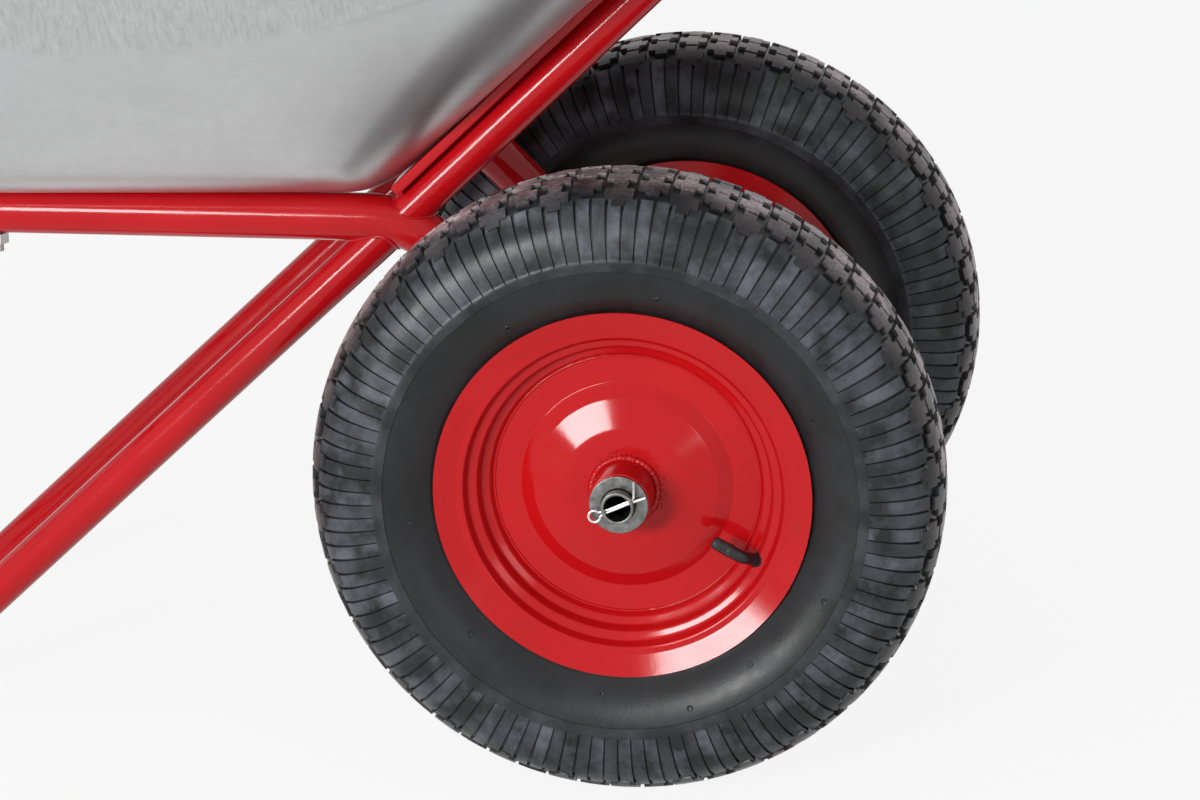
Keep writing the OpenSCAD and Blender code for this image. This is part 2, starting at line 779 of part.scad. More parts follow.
// The dome's profile: a flat top, an arc that drops to the ring, a level ring
// and a short edge turned in under the rim's well.
module disc(side, face) {
    run = dome_r - dome_top_r;
    sweep_r = (run * run + dome_h * dome_h) / (2 * dome_h);
    sweep = asin(run / sweep_r);
    steps = 8;
    dome = [for (i = [0 : steps]) let(a = sweep * i / steps)
        [ring_z + dome_h - sweep_r * (1 - cos(a)), dome_top_r + sweep_r * sin(a)]];
    edge_r = well_r - weld_gap;
    top = concat([[ring_z + dome_h, hub_d / 2 + weld_gap]], dome,
        [[ring_z, dome_r + 3], [ring_z, edge_r]]);
    under = concat([[ring_z - 6, edge_r], [ring_z - 6, edge_r - press_t],
        [ring_z - press_t, edge_r - press_t], [ring_z - press_t, dome_r + 2]],
        [for (i = [steps : -1 : 0]) dome[i] + [-press_t, -0.6 * i / steps * press_t]],
        [[ring_z + dome_h - press_t, hub_d / 2 + weld_gap]]);
    color("#cf171c") on_wheel(side) mirror([0, 0, face < 0 ? 1 : 0])
        rotate_extrude() polygon(swap(concat(top, under)));
}

module hub_tube(side) {
    color("#cf171c") on_wheel(side)
        linear_extrude(hub_len, center = true) ring(hub_d, hub_wall);
}

// Each end of the hub holds one bearing, just inside its mouth.
module at_bearings() {
    for (end = [-1, 1])
        translate([0, 0, end * (hub_len / 2 - cage_inset - cage_len / 2)]) children();
}

module bearing_cages(side) {
    bars = 1.2;
    color("#e8e4d8") on_wheel(side) at_bearings() difference() {
        linear_extrude(cage_len, center = true)
            ring(2 * (roller_pitch_r + roller_r - bars), 2 * (roller_r - bars));
        for (i = [0 : roller_count - 1]) rotate(i * 360 / roller_count)
            translate([roller_pitch_r, 0, 0])
                cylinder(r = roller_r + roller_gap, h = roller_len + 0.4, center = true);
    }
}

module bearing_rollers(side) {
    color("#b9bcc0") on_wheel(side) at_bearings()
        for (i = [0 : roller_count - 1]) rotate(i * 360 / roller_count)
            translate([roller_pitch_r, 0, 0]) cylinder(r = roller_r, h = roller_len, center = true);
}

// ---------------------------------------------------------------- valve

// The valve's hole in the side of the well, +Z out of the rim along the stem.
stem_r0 = seat_r - 9.5;
stem_z0 = flange_z - 17;
stem_foot = (tube_low_r - stem_r0) / cos(stem_tilt) + 2;

module at_stem() {
    rotate(-valve_angle) translate([stem_r0, 0, stem_z0]) rotate([0, -stem_tilt, 0]) children();
}

// The elbow: out through the rim, then straight in towards the hub.
module at_elbow() {
    at_stem() translate([-stem_bend_r, 0, stem_out]) rotate([90, 0, 0]) children();
}

module at_stem_end() {
    at_elbow() rotate([0, 0, 90 - stem_tilt]) translate([stem_bend_r, 0, 0])
        rotate([-90, 0, 0]) children();
}

module valve_stem(side) {
    color("#202020") on_wheel(side) at_stem() translate([0, 0, -stem_foot]) rotate([0, -90, 0])
        tube_run([[stem_foot + stem_out, 0, stem_bend_r, 90 - stem_tilt], [stem_reach, 0, 0, 0]],
            stem_d, stem_d);
}

module valve_cap(side) {
    overlap = 9;
    color("#101010") on_wheel(side) at_stem_end() translate([0, 0, stem_reach - overlap])
        difference() {
            cylinder(d = cap_d, h = cap_len);
            translate([0, 0, -1]) cylinder(d = stem_d + 2 * weld_gap, h = overlap + 1 + seat_gap);
        }
}

// ---------------------------------------------------------------- the pieces

module main_tube_right() main_tube(RIGHT);
module main_tube_left() main_tube(LEFT);
module grip_right() grip(RIGHT);
module grip_left() grip(LEFT);
module rest_bar_right() rest_bar(RIGHT);
module rest_bar_left() rest_bar(LEFT);
module leg_right() leg(RIGHT);
module leg_left() leg(LEFT);
module foot_plate_right() foot_plate(RIGHT);
module foot_plate_left() foot_plate(LEFT);
module rear_stay_right() rear_stay(RIGHT);
module rear_stay_left() rear_stay(LEFT);
module tyre_right() tyre(RIGHT);
module tyre_left() tyre(LEFT);
module inner_tube_right() inner_tube(RIGHT);
module inner_tube_left() inner_tube(LEFT);
module rim_right() rim(RIGHT);
module rim_left() rim(LEFT);
module outer_disc_right() disc(RIGHT, 1);
module outer_disc_left() disc(LEFT, 1);
module inner_disc_right() disc(RIGHT, -1);
module inner_disc_left() disc(LEFT, -1);
module hub_tube_right() hub_tube(RIGHT);
module hub_tube_left() hub_tube(LEFT);
module bearing_cages_right() bearing_cages(RIGHT);
module bearing_cages_left() bearing_cages(LEFT);
module bearing_rollers_right() bearing_rollers(RIGHT);
module bearing_rollers_left() bearing_rollers(LEFT);
module valve_stem_right() valve_stem(RIGHT);
module valve_stem_left() valve_stem(LEFT);
module valve_cap_right() valve_cap(RIGHT);
module valve_cap_left() valve_cap(LEFT);

tub();
rim_wire();
main_tube_right();
main_tube_left();
grip_right();
grip_left();
front_hoop();
rest_bar_right();
rest_bar_left();
leg_right();
leg_left();
foot_plate_right();
foot_plate_left();
leg_cross_tube();
rear_cross_tube();
rear_stay_right();
rear_stay_left();
axle();
axle_collars();
hub_washers();
split_pins();
tub_bolts();
stay_bolts();
tub_washers();
tub_nuts();
tyre_right();
inner_tube_right();
rim_right();
outer_disc_right();
inner_disc_right();
hub_tube_right();
bearing_cages_right();
bearing_rollers_right();
valve_stem_right();
valve_cap_right();
tyre_left();
inner_tube_left();
rim_left();
outer_disc_left();
inner_disc_left();
hub_tube_left();
bearing_cages_left();
bearing_rollers_left();
valve_stem_left();
valve_cap_left();
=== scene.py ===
"""The looks of a two-wheeled builder's wheelbarrow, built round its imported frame.

Shapes are drawn in millimetres from the middle of the axle, +X forward, +Y to the barrow's
left, +Z up. What comes in pairs is drawn on the left and mirrored to the right.
"""

import math
import random

import bmesh
import bpy
import numpy as np
from mathutils import Matrix, Quaternion, Vector


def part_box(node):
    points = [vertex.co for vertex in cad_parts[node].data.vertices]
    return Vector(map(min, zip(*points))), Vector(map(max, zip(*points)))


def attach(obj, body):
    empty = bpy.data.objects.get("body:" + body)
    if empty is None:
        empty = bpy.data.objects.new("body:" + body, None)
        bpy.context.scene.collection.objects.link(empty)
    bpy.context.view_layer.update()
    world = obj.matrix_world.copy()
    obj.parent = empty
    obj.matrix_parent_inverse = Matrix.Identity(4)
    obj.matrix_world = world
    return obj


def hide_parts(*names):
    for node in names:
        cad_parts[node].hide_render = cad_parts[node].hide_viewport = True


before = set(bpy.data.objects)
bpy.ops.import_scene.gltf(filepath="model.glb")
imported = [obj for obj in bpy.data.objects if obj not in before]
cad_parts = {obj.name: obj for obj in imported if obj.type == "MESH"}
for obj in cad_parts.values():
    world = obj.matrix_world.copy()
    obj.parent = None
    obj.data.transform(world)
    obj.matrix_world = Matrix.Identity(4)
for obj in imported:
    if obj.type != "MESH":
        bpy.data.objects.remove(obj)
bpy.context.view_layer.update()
random.seed(7)

# ---- sizes, in millimetres

MM = 0.001
axle_low, axle_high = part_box("axle")
AXLE = (axle_low + axle_high) / 2
hub_low, hub_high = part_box("hub_tube_left")
TRACK_HALF = (hub_low.y + hub_high.y) / 2 / MM
HUB_LEN = (hub_high.y - hub_low.y) / MM
SIDES = (("right", -1), ("left", 1))

TYRE_R, TYRE_HALF, TREAD_DEPTH, SIDE_T = 195.0, 50.0, 3.0, 5.0
FLANGE_R, FLANGE_Z, PRESS = 116.0, 36.0, 2.0
SEAT_R, WELL_R, RING_Z = 101.0, 82.5, 9.0
DOME_H, DOME_R, DOME_TOP_R = 12.0, 66.0, 38.0
HUB_R, HUB_BORE_R = 19.0, 16.0
AXLE_R, AXLE_BORE_R = 10.0, 8.2
WASHER_R, WASHER_T = 18.0, 2.0
COLLAR_R = 14.5
TUBE_R, BRACE_R, CROSS_R, WALL = 15.0, 12.5, 10.0, 1.5
TUBE_Y, DECK, DROP, FRONT_BEND = 118.0, 144.0, 45.0, 70.0
KNEE = 150.0
HANDLE_BACK, HANDLE_LEN, HANDLE_TURN, HANDLE_LEAN, HANDLE_BEND = 715.0, 550.0, 28.0, 31.0, 120.0
GRIP_R, GRIP_LEN, GRIP_END = 18.0, 125.0, 4.0
LEG_SLOPE, FOOT_LEN, LEG_REAR_SLOPE, LEG_BEND = 43.2, 112.0, 80.0, 50.0
PLATE_T, PLATE_LEN, PLATE_W, LEG_CROSS_H = 4.0, 62.0, 42.0, 135.0
STRUT_SLOPE, STRUT_LEN, STRUT_BEND = 43.9, 342.0, 55.0
REST_T, REST_W, REST_START, REST_LEN = 6.5, 30.0, 12.0, 288.0
SHEET, FLOOR_LEN, FLOOR_FRONT_Y, FLOOR_REAR_Y, FLOOR_BEND = 1.2, 450.0, 110.0, 146.0, 60.0
TUB_H, REAR_SLOPE, RIM_Y, RIM_CORNER, BEAD_R = 265.0, 58.0, 310.0, 110.0, 6.5
STAY_T, STAY_W, STAY_LEN, STAY_Y, STAY_START = 5.0, 30.0, 200.0, 70.0, -6.0
SEAT_GAP, WELD_GAP = 0.3, 0.1


def radians(angle):
    return angle * math.pi / 180


def sin(angle):
    return math.sin(radians(angle))


def cos(angle):
    return math.cos(radians(angle))


def tan(angle):
    return math.tan(radians(angle))


GROUND = -AXLE.z / MM
FOOT_Z = GROUND + PLATE_T + WELD_GAP + BRACE_R
FLOOR_Z = DECK + TUBE_R + SEAT_GAP
RIM_Z = FLOOR_Z + TUB_H
WALL_OFF = BRACE_R + WELD_GAP + REST_T + SEAT_GAP
FLOOR_FRONT_X = -KNEE + ((FLOOR_Z - DECK) * cos(STRUT_SLOPE) - WALL_OFF) / sin(STRUT_SLOPE)
FLOOR_REAR_X = FLOOR_FRONT_X - FLOOR_LEN
RIM_FRONT_X = FLOOR_FRONT_X + TUB_H / tan(STRUT_SLOPE)
RIM_REAR_X = FLOOR_REAR_X - TUB_H / tan(REAR_SLOPE)
STAY_OFF = SEAT_GAP + STAY_T + WELD_GAP + BRACE_R
REAR_CROSS_X = FLOOR_REAR_X - (STAY_OFF - (FLOOR_Z - DECK) * cos(REAR_SLOPE)) / sin(REAR_SLOPE)
FOOT_FRONT_X = -KNEE - (DECK - FOOT_Z) / tan(LEG_SLOPE)
FOOT_REAR_X = FOOT_FRONT_X - FOOT_LEN
LEG_TANGENT = LEG_BEND * tan(LEG_SLOPE / 2)
LEG_REAR_TANGENT = LEG_BEND * tan(LEG_REAR_SLOPE / 2)
LEG_CROSS_Z = LEG_CROSS_H + GROUND
LEG_CROSS_X = FOOT_REAR_X - (LEG_CROSS_Z - FOOT_Z) / tan(LEG_REAR_SLOPE)
PLATE_X = (FOOT_FRONT_X - LEG_TANGENT + FOOT_REAR_X + LEG_REAR_TANGENT) / 2
HUB_PLAY = 0.2
WASHER_Z = HUB_LEN / 2 + HUB_PLAY


# ---- mesh helpers


def grid(points, close_rows=False, close_cols=False):
    """Quads over an array of points [row, column, xyz]."""
    rows, cols = points.shape[:2]
    r = np.arange(rows if close_rows else rows - 1)
    c = np.arange(cols if close_cols else cols - 1)
    a, b = np.meshgrid(r, c, indexing="ij")
    a2, b2 = (a + 1) % rows, (b + 1) % cols
    faces = np.stack([a * cols + b, a * cols + b2, a2 * cols + b2, a2 * cols + b], axis=-1)
    return points.reshape(-1, 3), faces.reshape(-1, 4).tolist()


def capped(points):
    """Quads round a stack of rings, and a flat face at each end."""
    shape, faces = grid(points, close_cols=True)
    around, count = len(points[0]), len(shape)
    return shape, faces + [list(range(around)), list(range(count - around, count))]


def join(*shapes):
    """Several shapes, each points and faces, as one."""
    points, faces, count = [], [], 0
    for p, f in shapes:
        p = np.asarray(p, float).reshape(-1, 3)
        points.append(p)
        faces += [[i + count for i in face] for face in f]
        count += len(p)
    return np.concatenate(points), faces


def mirrored(shape, sign):
    """A shape drawn on the left, put on the side of that sign."""
    points = np.array(shape[0], float)
    points[:, 1] *= sign
    return points, shape[1]


def both(shape):
    return join(shape, mirrored(shape, -1))


def linked(name, data):
    """A new object in the scene."""
    made = bpy.data.objects.new(name, data)
    bpy.context.scene.collection.objects.link(made)
    return made


def closed_mesh(name, shape, merge=None, layers=None):
    """A mesh from a shape in millimetres, its close points merged and its faces outwards."""
    mesh = bpy.data.meshes.new(name)
    mesh.from_pydata((np.asarray(shape[0]) * MM + np.array(AXLE)).tolist(), [], shape[1])
    for layer, values in (layers or {}).items():
        mesh.attributes.new(layer, "FLOAT", "POINT").data.foreach_set("value", values)
    bm = bmesh.new()
    bm.from_mesh(mesh)
    if merge:
        bmesh.ops.remove_doubles(bm, verts=bm.verts, dist=merge * MM)
        bmesh.ops.dissolve_degenerate(bm, edges=bm.edges, dist=merge * MM)
    bmesh.ops.recalc_face_normals(bm, faces=bm.faces)
    bm.to_mesh(mesh)
    bm.free()
    return mesh


def shade(mesh, sharp):
    """Smooth shading, but for edges sharper than an angle."""
    mesh.shade_smooth()
    mesh.set_sharp_from_angle(angle=radians(sharp))


def make(name, shape, body, slot, paint, replaces=(), sharp=35, layers=None):
    """A piece that rides on its body and stands for the CAD nodes that it replaces."""
    mesh = closed_mesh(name, shape, 0.002, layers)
    shade(mesh, sharp)
    piece = linked(name, mesh)
    mesh.materials.append(paint)
    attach(piece, body)
    if replaces:
        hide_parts(*replaces)
    return piece


def rounded(points, radius, fine=4):
    """An open outline [across, up] whose inner corners are rounded; radius is one or one each."""
    points = [np.array(p, float) for p in points]
    radii = radius if isinstance(radius, (list, tuple)) else [radius] * len(points)
    line = [points[0]]
    for before, corner, after, r in zip(points, points[1:], points[2:], radii[1:]):
        a, b = before - corner, after - corner
        la, lb = np.linalg.norm(a), np.linalg.norm(b)
        half = math.acos(max(-1, min(1, a @ b / la / lb))) / 2
        if half > radians(89) or r <= 0:
            line.append(corner)
            continue
        cut = min(r / math.tan(half), 0.48 * la, 0.48 * lb)
        start, end = corner + a / la * cut, corner + b / lb * cut
        for k in range(fine + 1):
            s = k / fine
            line.append((1 - s) ** 2 * start + 2 * s * (1 - s) * corner + s * s * end)
    line.append(points[-1])
    return line


def there_and_back(line):
    """Half an outline [out, radius] that ends at the middle plane, and its mirrored half."""
    return [(z, r) for z, r in line] + [(-z, r) for z, r in line[-2::-1]]


def lathe(profile, turns, closed=True):
    """An outline of [distance out along Y, radius] turned about the Y axis."""
    profile = np.array(profile, float)
    angle = np.linspace(0, 2 * math.pi, turns, endpoint=False)
    points = np.zeros((len(profile), turns, 3))
    points[..., 0] = profile[:, 1:2] * np.cos(angle)
    points[..., 1] = profile[:, 0:1]
    points[..., 2] = profile[:, 1:2] * np.sin(angle)
    return grid(points, close_rows=closed, close_cols=True)


def shifted(shape, x, y, z):
    return np.asarray(shape[0], float) + np.array([x, y, z]), shape[1]


def placed(shape, matrix):
    """A shape moved by a 4x4 matrix in millimetres."""
    m = np.array(matrix, float)
    return np.asarray(shape[0], float) @ m[:3, :3].T + m[:3, 3], shape[1]


def axes(x, y, z):
    """The turn whose own X, Y and Z lie along three directions."""
    return Matrix((x, y, z)).transposed().to_4x4()


def turn_to(way):
    """The turn that brings +Y to a direction."""
    return Vector((0, 1, 0)).rotation_difference(way).to_matrix().to_4x4()


def moved(x, y, z):
    """The matrix of a move."""
    return Matrix.Translation((x, y, z))


def box(low, high, bevel):
    """A flat bar with its edges broken, from one corner to the other."""
    bm = bmesh.new()
    bmesh.ops.create_cube(bm, size=1)
    low, high = Vector(low), Vector(high)
    for v in bm.verts:
        v.co = [(low[k] + high[k]) / 2 + v.co[k] * (high[k] - low[k]) for k in range(3)]
    bmesh.ops.bevel(bm, geom=bm.edges[:], offset=bevel, segments=3, profile=0.5, affect="EDGES")
    shape = [list(v.co) for v in bm.verts], [[v.index for v in f.verts] for f in bm.faces]
    bm.free()
    return shape


def run(start, heading, up, steps, fine=3.0):
    """Stations [place, heading, across] along a bent tube. A step is its straight length, the
    twist about the heading, the bend's radius and its angle; a bend turns towards up."""
    place, heading, up = Vector(start), Vector(heading).normalized(), Vector(up).normalized()
    across = heading.cross(up)
    stations = [(place, heading, across)]
    for length, twist, radius, angle in steps:
        place = place + heading * length
        stations.append((place, heading, across))
        if not angle:
            continue
        up = Quaternion(heading, radians(twist)) @ up
        centre = place + up * radius
        count = max(2, round(angle / fine))
        for _ in range(count):
            turn = Quaternion(heading.cross(up), radians(angle / count))
            heading, up, across = turn @ heading, turn @ up, turn @ across
            place = centre - up * radius
            stations.append((place, heading, across))
    return stations


def trimmed(stations, start, end):
    """Stations whose first and last straight are cut shorter."""
    first, last = stations[0], stations[-1]
    return [(first[0] + first[1] * start, *first[1:]), *stations[1:-1],
            (last[0] - last[1] * end, *last[1:])]


def rings(stations, radii, around=40):
    """Circles about the stations, one radius for each, or one for each point round it."""
    angle = np.linspace(0, 2 * math.pi, around, endpoint=False)
    points = []
    for (place, heading, across), radius in zip(stations, radii):
        other = heading.cross(across)
        circle = np.outer(np.cos(angle), across) + np.outer(np.sin(angle), other)
        points.append(np.array(place) + radius * circle)
    return np.array(points)


def tube(stations, radius, wall, around=40):
    """A bent tube with a wall, its ends square and slightly broken."""
    break_edge = 0.3
    first, last = stations[0], stations[-1]
    inner = trimmed(stations, break_edge, break_edge)
    path = [first, *inner, last, last, *inner[::-1], first]
    small, bore = radius - break_edge, radius - wall
    radii = [small, *[radius] * len(inner), small, bore, *[bore] * len(inner), bore]
    return grid(rings(path, radii, around), close_rows=True, close_cols=True)


def rod(stations, radius, tip=1.0, around=24):
    """A solid round bar with rounded ends."""
    first, last = stations[0], stations[-1]
    point, steps = 0.01, 4
    rise = [90 * k / steps for k in range(steps + 1)]
    round_end = [max(point, radius - tip + tip * cos(90 - a)) if a else point for a in rise]
    path = [(first[0] + first[1] * tip * (1 - sin(a)), *first[1:]) for a in rise]
    path += stations[1:-1]
    path += [(last[0] - last[1] * tip * (1 - sin(a)), *last[1:]) for a in rise[::-1]]
    radii = [*round_end, *[radius] * len(stations[1:-1]), *round_end[::-1]]
    return capped(rings(path, radii, around))


def sleeve(start, end, bore, radius, soft, turns):
    """A ring about the wheel's axis, from start to end, its outer edges rounded."""
    middle = ((start + end) / 2, bore)
    line = [middle, (start, bore), (start, radius), (end, radius), (end, bore), middle]
    return lathe(rounded(line, soft, 3)[:-1], turns)


def pipe(half, radius, bore, soft, turns):
    """A tube about the wheel's axis, as long each way, its end edges rounded."""
    line = rounded([(0, radius), (half, radius), (half, bore), (0, bore)], soft, 3)
    return lathe(line + [(-z, r) for z, r in line[::-1]][1:-1], turns)


# ---- welds


def gap_to(line, point):
    """The distance of a point from a line of stations."""
    spots = np.array([s[0] for s in line])
    steps = np.diff(spots, axis=0)
    share = np.einsum("ij,ij->i", np.array(point) - spots[:-1], steps)
    share = np.clip(share / np.maximum(np.einsum("ij,ij->i", steps, steps), 1e-9), 0, 1)
    return np.linalg.norm(spots[:-1] + share[:, None] * steps - np.array(point), axis=1).min()


def seam(foot, heading, radius, line, line_radius):
    """The closed line where a tube from foot along heading meets the skin of another tube."""
    count, nearest, furthest, halvings = 72, -20.0, 90.0, 24
    heading = Vector(heading).normalized()
    across = heading.orthogonal().normalized()
    other = heading.cross(across)
    loop = []
    for k in range(count):
        a = 360 * k / count
        side = Vector(foot) + (across * cos(a) + other * sin(a)) * radius
        inside, outside = nearest, furthest
        for _ in range(halvings):
            middle = (inside + outside) / 2
            if gap_to(line, side + heading * middle) < line_radius:
                inside = middle
            else:
                outside = middle
        loop.append(side + heading * outside)
    return loop


def bead(loop, size, closed=True, ripple=0.13, seed=0, around=10):
    """A rippled weld bead along a line of points."""
    rng = random.Random(seed)
    loop = [Vector(p) for p in loop]
    count = len(loop)
    middle = sum(loop, Vector()) / count
    phase = rng.random() * 6
    stations, swells = [], []
    for k, p in enumerate(loop):
        before = loop[k - 1] if closed or k else p
        after = loop[(k + 1) % count] if closed or k < count - 1 else p
        along = (after - before).normalized()
        across = (p - middle) - along * (p - middle).dot(along)
        swell = size * (1 + ripple * math.sin(k * 1.9 + phase) + 0.12 * (rng.random() - 0.5))
        if not closed:
            swell *= min(1, 0.25 + 0.5 * min(k, count - 1 - k))
        stations.append((p, along, across.normalized()))
        swells.append(swell)
    points = rings(stations, swells, around)
    return grid(points, close_rows=True, close_cols=True) if closed else capped(points)


def between(a, b, count):
    a, b = Vector(a), Vector(b)
    return [a.lerp(b, k / (count - 1)) for k in range(count)]


def ring_points(out, radius, count=72):
    """Points round the wheel's axis at a distance out from its middle plane."""
    return [(radius * cos(360 * k / count), out, radius * sin(360 * k / count))
            for k in range(count)]


# ---- material helpers


def rgb(red, green, blue):
    return (red, green, blue, 1.0)


class Nodes:
    """The node tree of a material or world, and a short way to wire it."""

    def __init__(self, owner):
        owner.use_nodes = True
        self.tree = owner.node_tree

    def node(self, kind, **inputs):
        made = self.tree.nodes.new(kind)
        for name, value in inputs.items():
            self.wire(value, made.inputs[name.replace("_", " ")])
        return made

    def wire(self, value, socket):
        if isinstance(value, bpy.types.NodeSocket):
            self.tree.links.new(value, socket)
        else:
            socket.default_value = value

    def math(self, operation, a, b=0.0):
        made = self.node("ShaderNodeMath")
        made.operation = operation
        self.wire(a, made.inputs[0])
        self.wire(b, made.inputs[1])
        return made.outputs["Value"]

    def show_to_camera(self, lit, seen, output, share=1.0):
        """One shader lights the scene; what the camera sees, directly, in a gloss or through
        glass, takes a share of the other."""
        path = self.node("ShaderNodeLightPath")
        rays = path.outputs["Is Camera Ray"]
        for name in ("Is Glossy Ray", "Is Transmission Ray"):
            rays = self.math("MAXIMUM", rays, path.outputs[name])
        pick = self.node("ShaderNodeMixShader")
        for index, value in enumerate((self.math("MULTIPLY", rays, share), lit, seen)):
            self.wire(value, pick.inputs[index])
        self.node(output, Surface=pick.outputs[0])


class Paint(Nodes):
    """A Principled material built from noise in the object's own space."""

    def __init__(self, name, metallic=0.0, roughness=0.5, specular=0.5):
        self.material = bpy.data.materials.new(name)
        super().__init__(self.material)
        self.shader = self.tree.nodes["Principled BSDF"]
        self.shader.inputs["Metallic"].default_value = metallic
        self.shader.inputs["Roughness"].default_value = roughness
        self.shader.inputs["Specular IOR Level"].default_value = specular

    def place(self, scale=(1, 1, 1)):
        spot = self.node("ShaderNodeTexCoord").outputs["Object"]
        return self.node("ShaderNodeMapping", Vector=spot, Scale=scale).outputs["Vector"]

    def noise(self, scale, detail=3.0, rough=0.55, stretch=(1, 1, 1)):
        made = self.node("ShaderNodeTexNoise", Vector=self.place(stretch), Scale=scale,
                         Detail=detail, Roughness=rough)
        return made.outputs["Fac"]

    def spread(self, value, low, high, to_low=0.0, to_high=1.0):
        made = self.node("ShaderNodeMapRange")
        for index, number in enumerate((value, low, high, to_low, to_high)):
            self.wire(number, made.inputs[index])
        return made.outputs["Result"]

    def mix(self, share, a, b):
        made = self.node("ShaderNodeMix")
        made.data_type = "RGBA"
        for value, index in ((share, 0), (a, 6), (b, 7)):
            self.wire(value, made.inputs[index])
        return made.outputs[2]

    def over(self, tone, colour, value, low=0.0, high=1.0, most=1.0):
        """A colour laid over a tone, from nothing where value is low to most where it is high."""
        return self.mix(self.spread(value, low, high, 0.0, most), tone, colour)

    def layer(self, name):
        made = self.node("ShaderNodeAttribute")
        made.attribute_name = name
        return made.outputs["Fac"]

    def colour(self, socket):
        self.wire(socket, self.shader.inputs["Base Color"])

    def roughness(self, value, low, high):
        """Roughness that goes from low to high with a noise value."""
        self.wire(self.spread(value, 0.3, 0.7, low, high), self.shader.inputs["Roughness"])

    def bump(self, height, strength, distance):
        after = self.shader.inputs["Normal"]
        made = self.node("ShaderNodeBump", Height=height, Strength=strength, Distance=distance)
        if after.is_linked:
            self.tree.links.new(after.links[0].from_socket, made.inputs["Normal"])
        self.tree.links.new(made.outputs["Normal"], after)


# ---- materials


def red_paint(name, light, dark, roughness):
    """Gloss enamel: slightly uneven colour, a faint orange peel and a few chips."""
    paint = Paint(name, roughness=roughness, specular=0.25)
    rubbed, chipped = rgb(0.2, 0.015, 0.012), rgb(0.06, 0.012, 0.01)
    tone = paint.over(dark, light, paint.noise(9.0), 0.35, 0.65)
    tone = paint.over(tone, rubbed, paint.noise(55.0, 6.0, 0.65), 0.62, 0.74, 0.14)
    tone = paint.over(tone, chipped, paint.noise(520.0, 2.0, 0.4), 0.755, 0.775)
    paint.colour(tone)
    paint.roughness(paint.noise(38.0, 4.0), roughness - 0.03, roughness + 0.05)
    paint.bump(paint.noise(430.0, 2.0), 0.05, 0.0003)
    paint.bump(paint.noise(34.0, 2.0), 0.10, 0.0010)
    return paint.material


def galvanised():
    """Dull zinc: faint spangles, clouds, and drawing streaks above the die's line."""
    paint = Paint("galvanised_sheet", metallic=0.9, roughness=0.38)
    cells = paint.node("ShaderNodeTexVoronoi", Vector=paint.place(), Scale=130.0, Randomness=1.0)
    streak = paint.noise(1.0, 4.0, 0.65, stretch=(420, 160, 8))
    brushed = paint.noise(1.0, 3.0, 0.6, stretch=(28, 60, 300))
    cloud = paint.noise(16.0, 5.0, 0.6)
    line = paint.math("MULTIPLY", paint.spread(streak, 0.42, 0.70), paint.layer("drawn"))
    zinc, spangle, clouded = rgb(0.49, 0.495, 0.50), rgb(0.525, 0.53, 0.535), rgb(0.45, 0.455, 0.46)
    rolled, scored = rgb(0.42, 0.425, 0.43), rgb(0.36, 0.36, 0.355)
    tone = paint.over(zinc, spangle, cells.outputs["Color"])
    tone = paint.over(tone, clouded, cloud, 0.4, 0.75, 0.5)
    tone = paint.over(tone, rolled, brushed, 0.5, 0.8, 0.3)
    tone = paint.over(tone, scored, line, most=0.7)
    paint.colour(tone)
    paint.roughness(cloud, 0.31, 0.37)
    paint.bump(line, 0.14, 0.0005)
    paint.bump(brushed, 0.03, 0.0004)
    return paint.material


def bare_metal(name, light, dark, roughness):
    """Steel or zinc plate, clouded and finely scratched."""
    paint = Paint(name, metallic=1.0, roughness=roughness)
    grime = rgb(0.11, 0.10, 0.09)
    tone = paint.over(dark, light, paint.noise(130.0, 5.0, 0.6), 0.35, 0.7)
    tone = paint.over(tone, grime, paint.noise(60.0, 5.0, 0.7), 0.6, 0.75, 0.55)
    paint.colour(tone)
    paint.roughness(paint.noise(260.0, 4.0), roughness - 0.08, roughness + 0.12)
    paint.bump(paint.noise(700.0, 3.0), 0.15, 0.0003)
    return paint.material


def tyre_rubber():
    """Moulded rubber: satin, with a painted sheen in grey on the shoulder ribs and pale dust on
    what stands proud.
    """
    paint = Paint("tyre_rubber", roughness=0.45, specular=0.30)
    dark, light = rgb(0.007, 0.0073, 0.008), rgb(0.015, 0.016, 0.018)
    rib_sheen_grey, pale = rgb(0.090, 0.100, 0.118), rgb(0.50, 0.39, 0.415)
    tone = paint.over(dark, light, paint.noise(24.0, 5.0, 0.62), 0.35, 0.7)
    # The grey laid over the ribs is a painted sheen, not the rubber's own colour; noise breaks it
    # into patches.
    sheen_patches = paint.spread(paint.noise(45.0, 5.0, 0.6), 0.42, 0.66)
    ribbed = paint.math("MULTIPLY", paint.layer("rib"), sheen_patches)
    tone = paint.mix(ribbed, tone, rib_sheen_grey)
    grit = paint.spread(paint.noise(480.0, 4.0, 0.7), 0.30, 0.56)
    patch = paint.spread(paint.noise(26.0, 2.0), 0.40, 0.60, 0.08, 1.0)
    dust = paint.math("MULTIPLY", paint.math("MULTIPLY", paint.layer("dust"), grit), patch)
    paint.colour(paint.mix(dust, tone, pale))
    paint.roughness(paint.noise(48.0, 4.0), 0.30, 0.46)
    paint.bump(paint.noise(560.0, 3.0), 0.20, 0.0004)
    return paint.material


def plain_plastic(name, light, dark, roughness):
    """Moulded plastic or soft rubber with a fine skin."""
    paint = Paint(name, roughness=roughness, specular=0.4)
    paint.colour(paint.over(dark, light, paint.noise(70.0, 4.0), 0.3, 0.7))
    paint.roughness(paint.noise(90.0), roughness - 0.06, roughness + 0.08)
    paint.bump(paint.noise(600.0, 2.0), 0.12, 0.0003)
    return paint.material


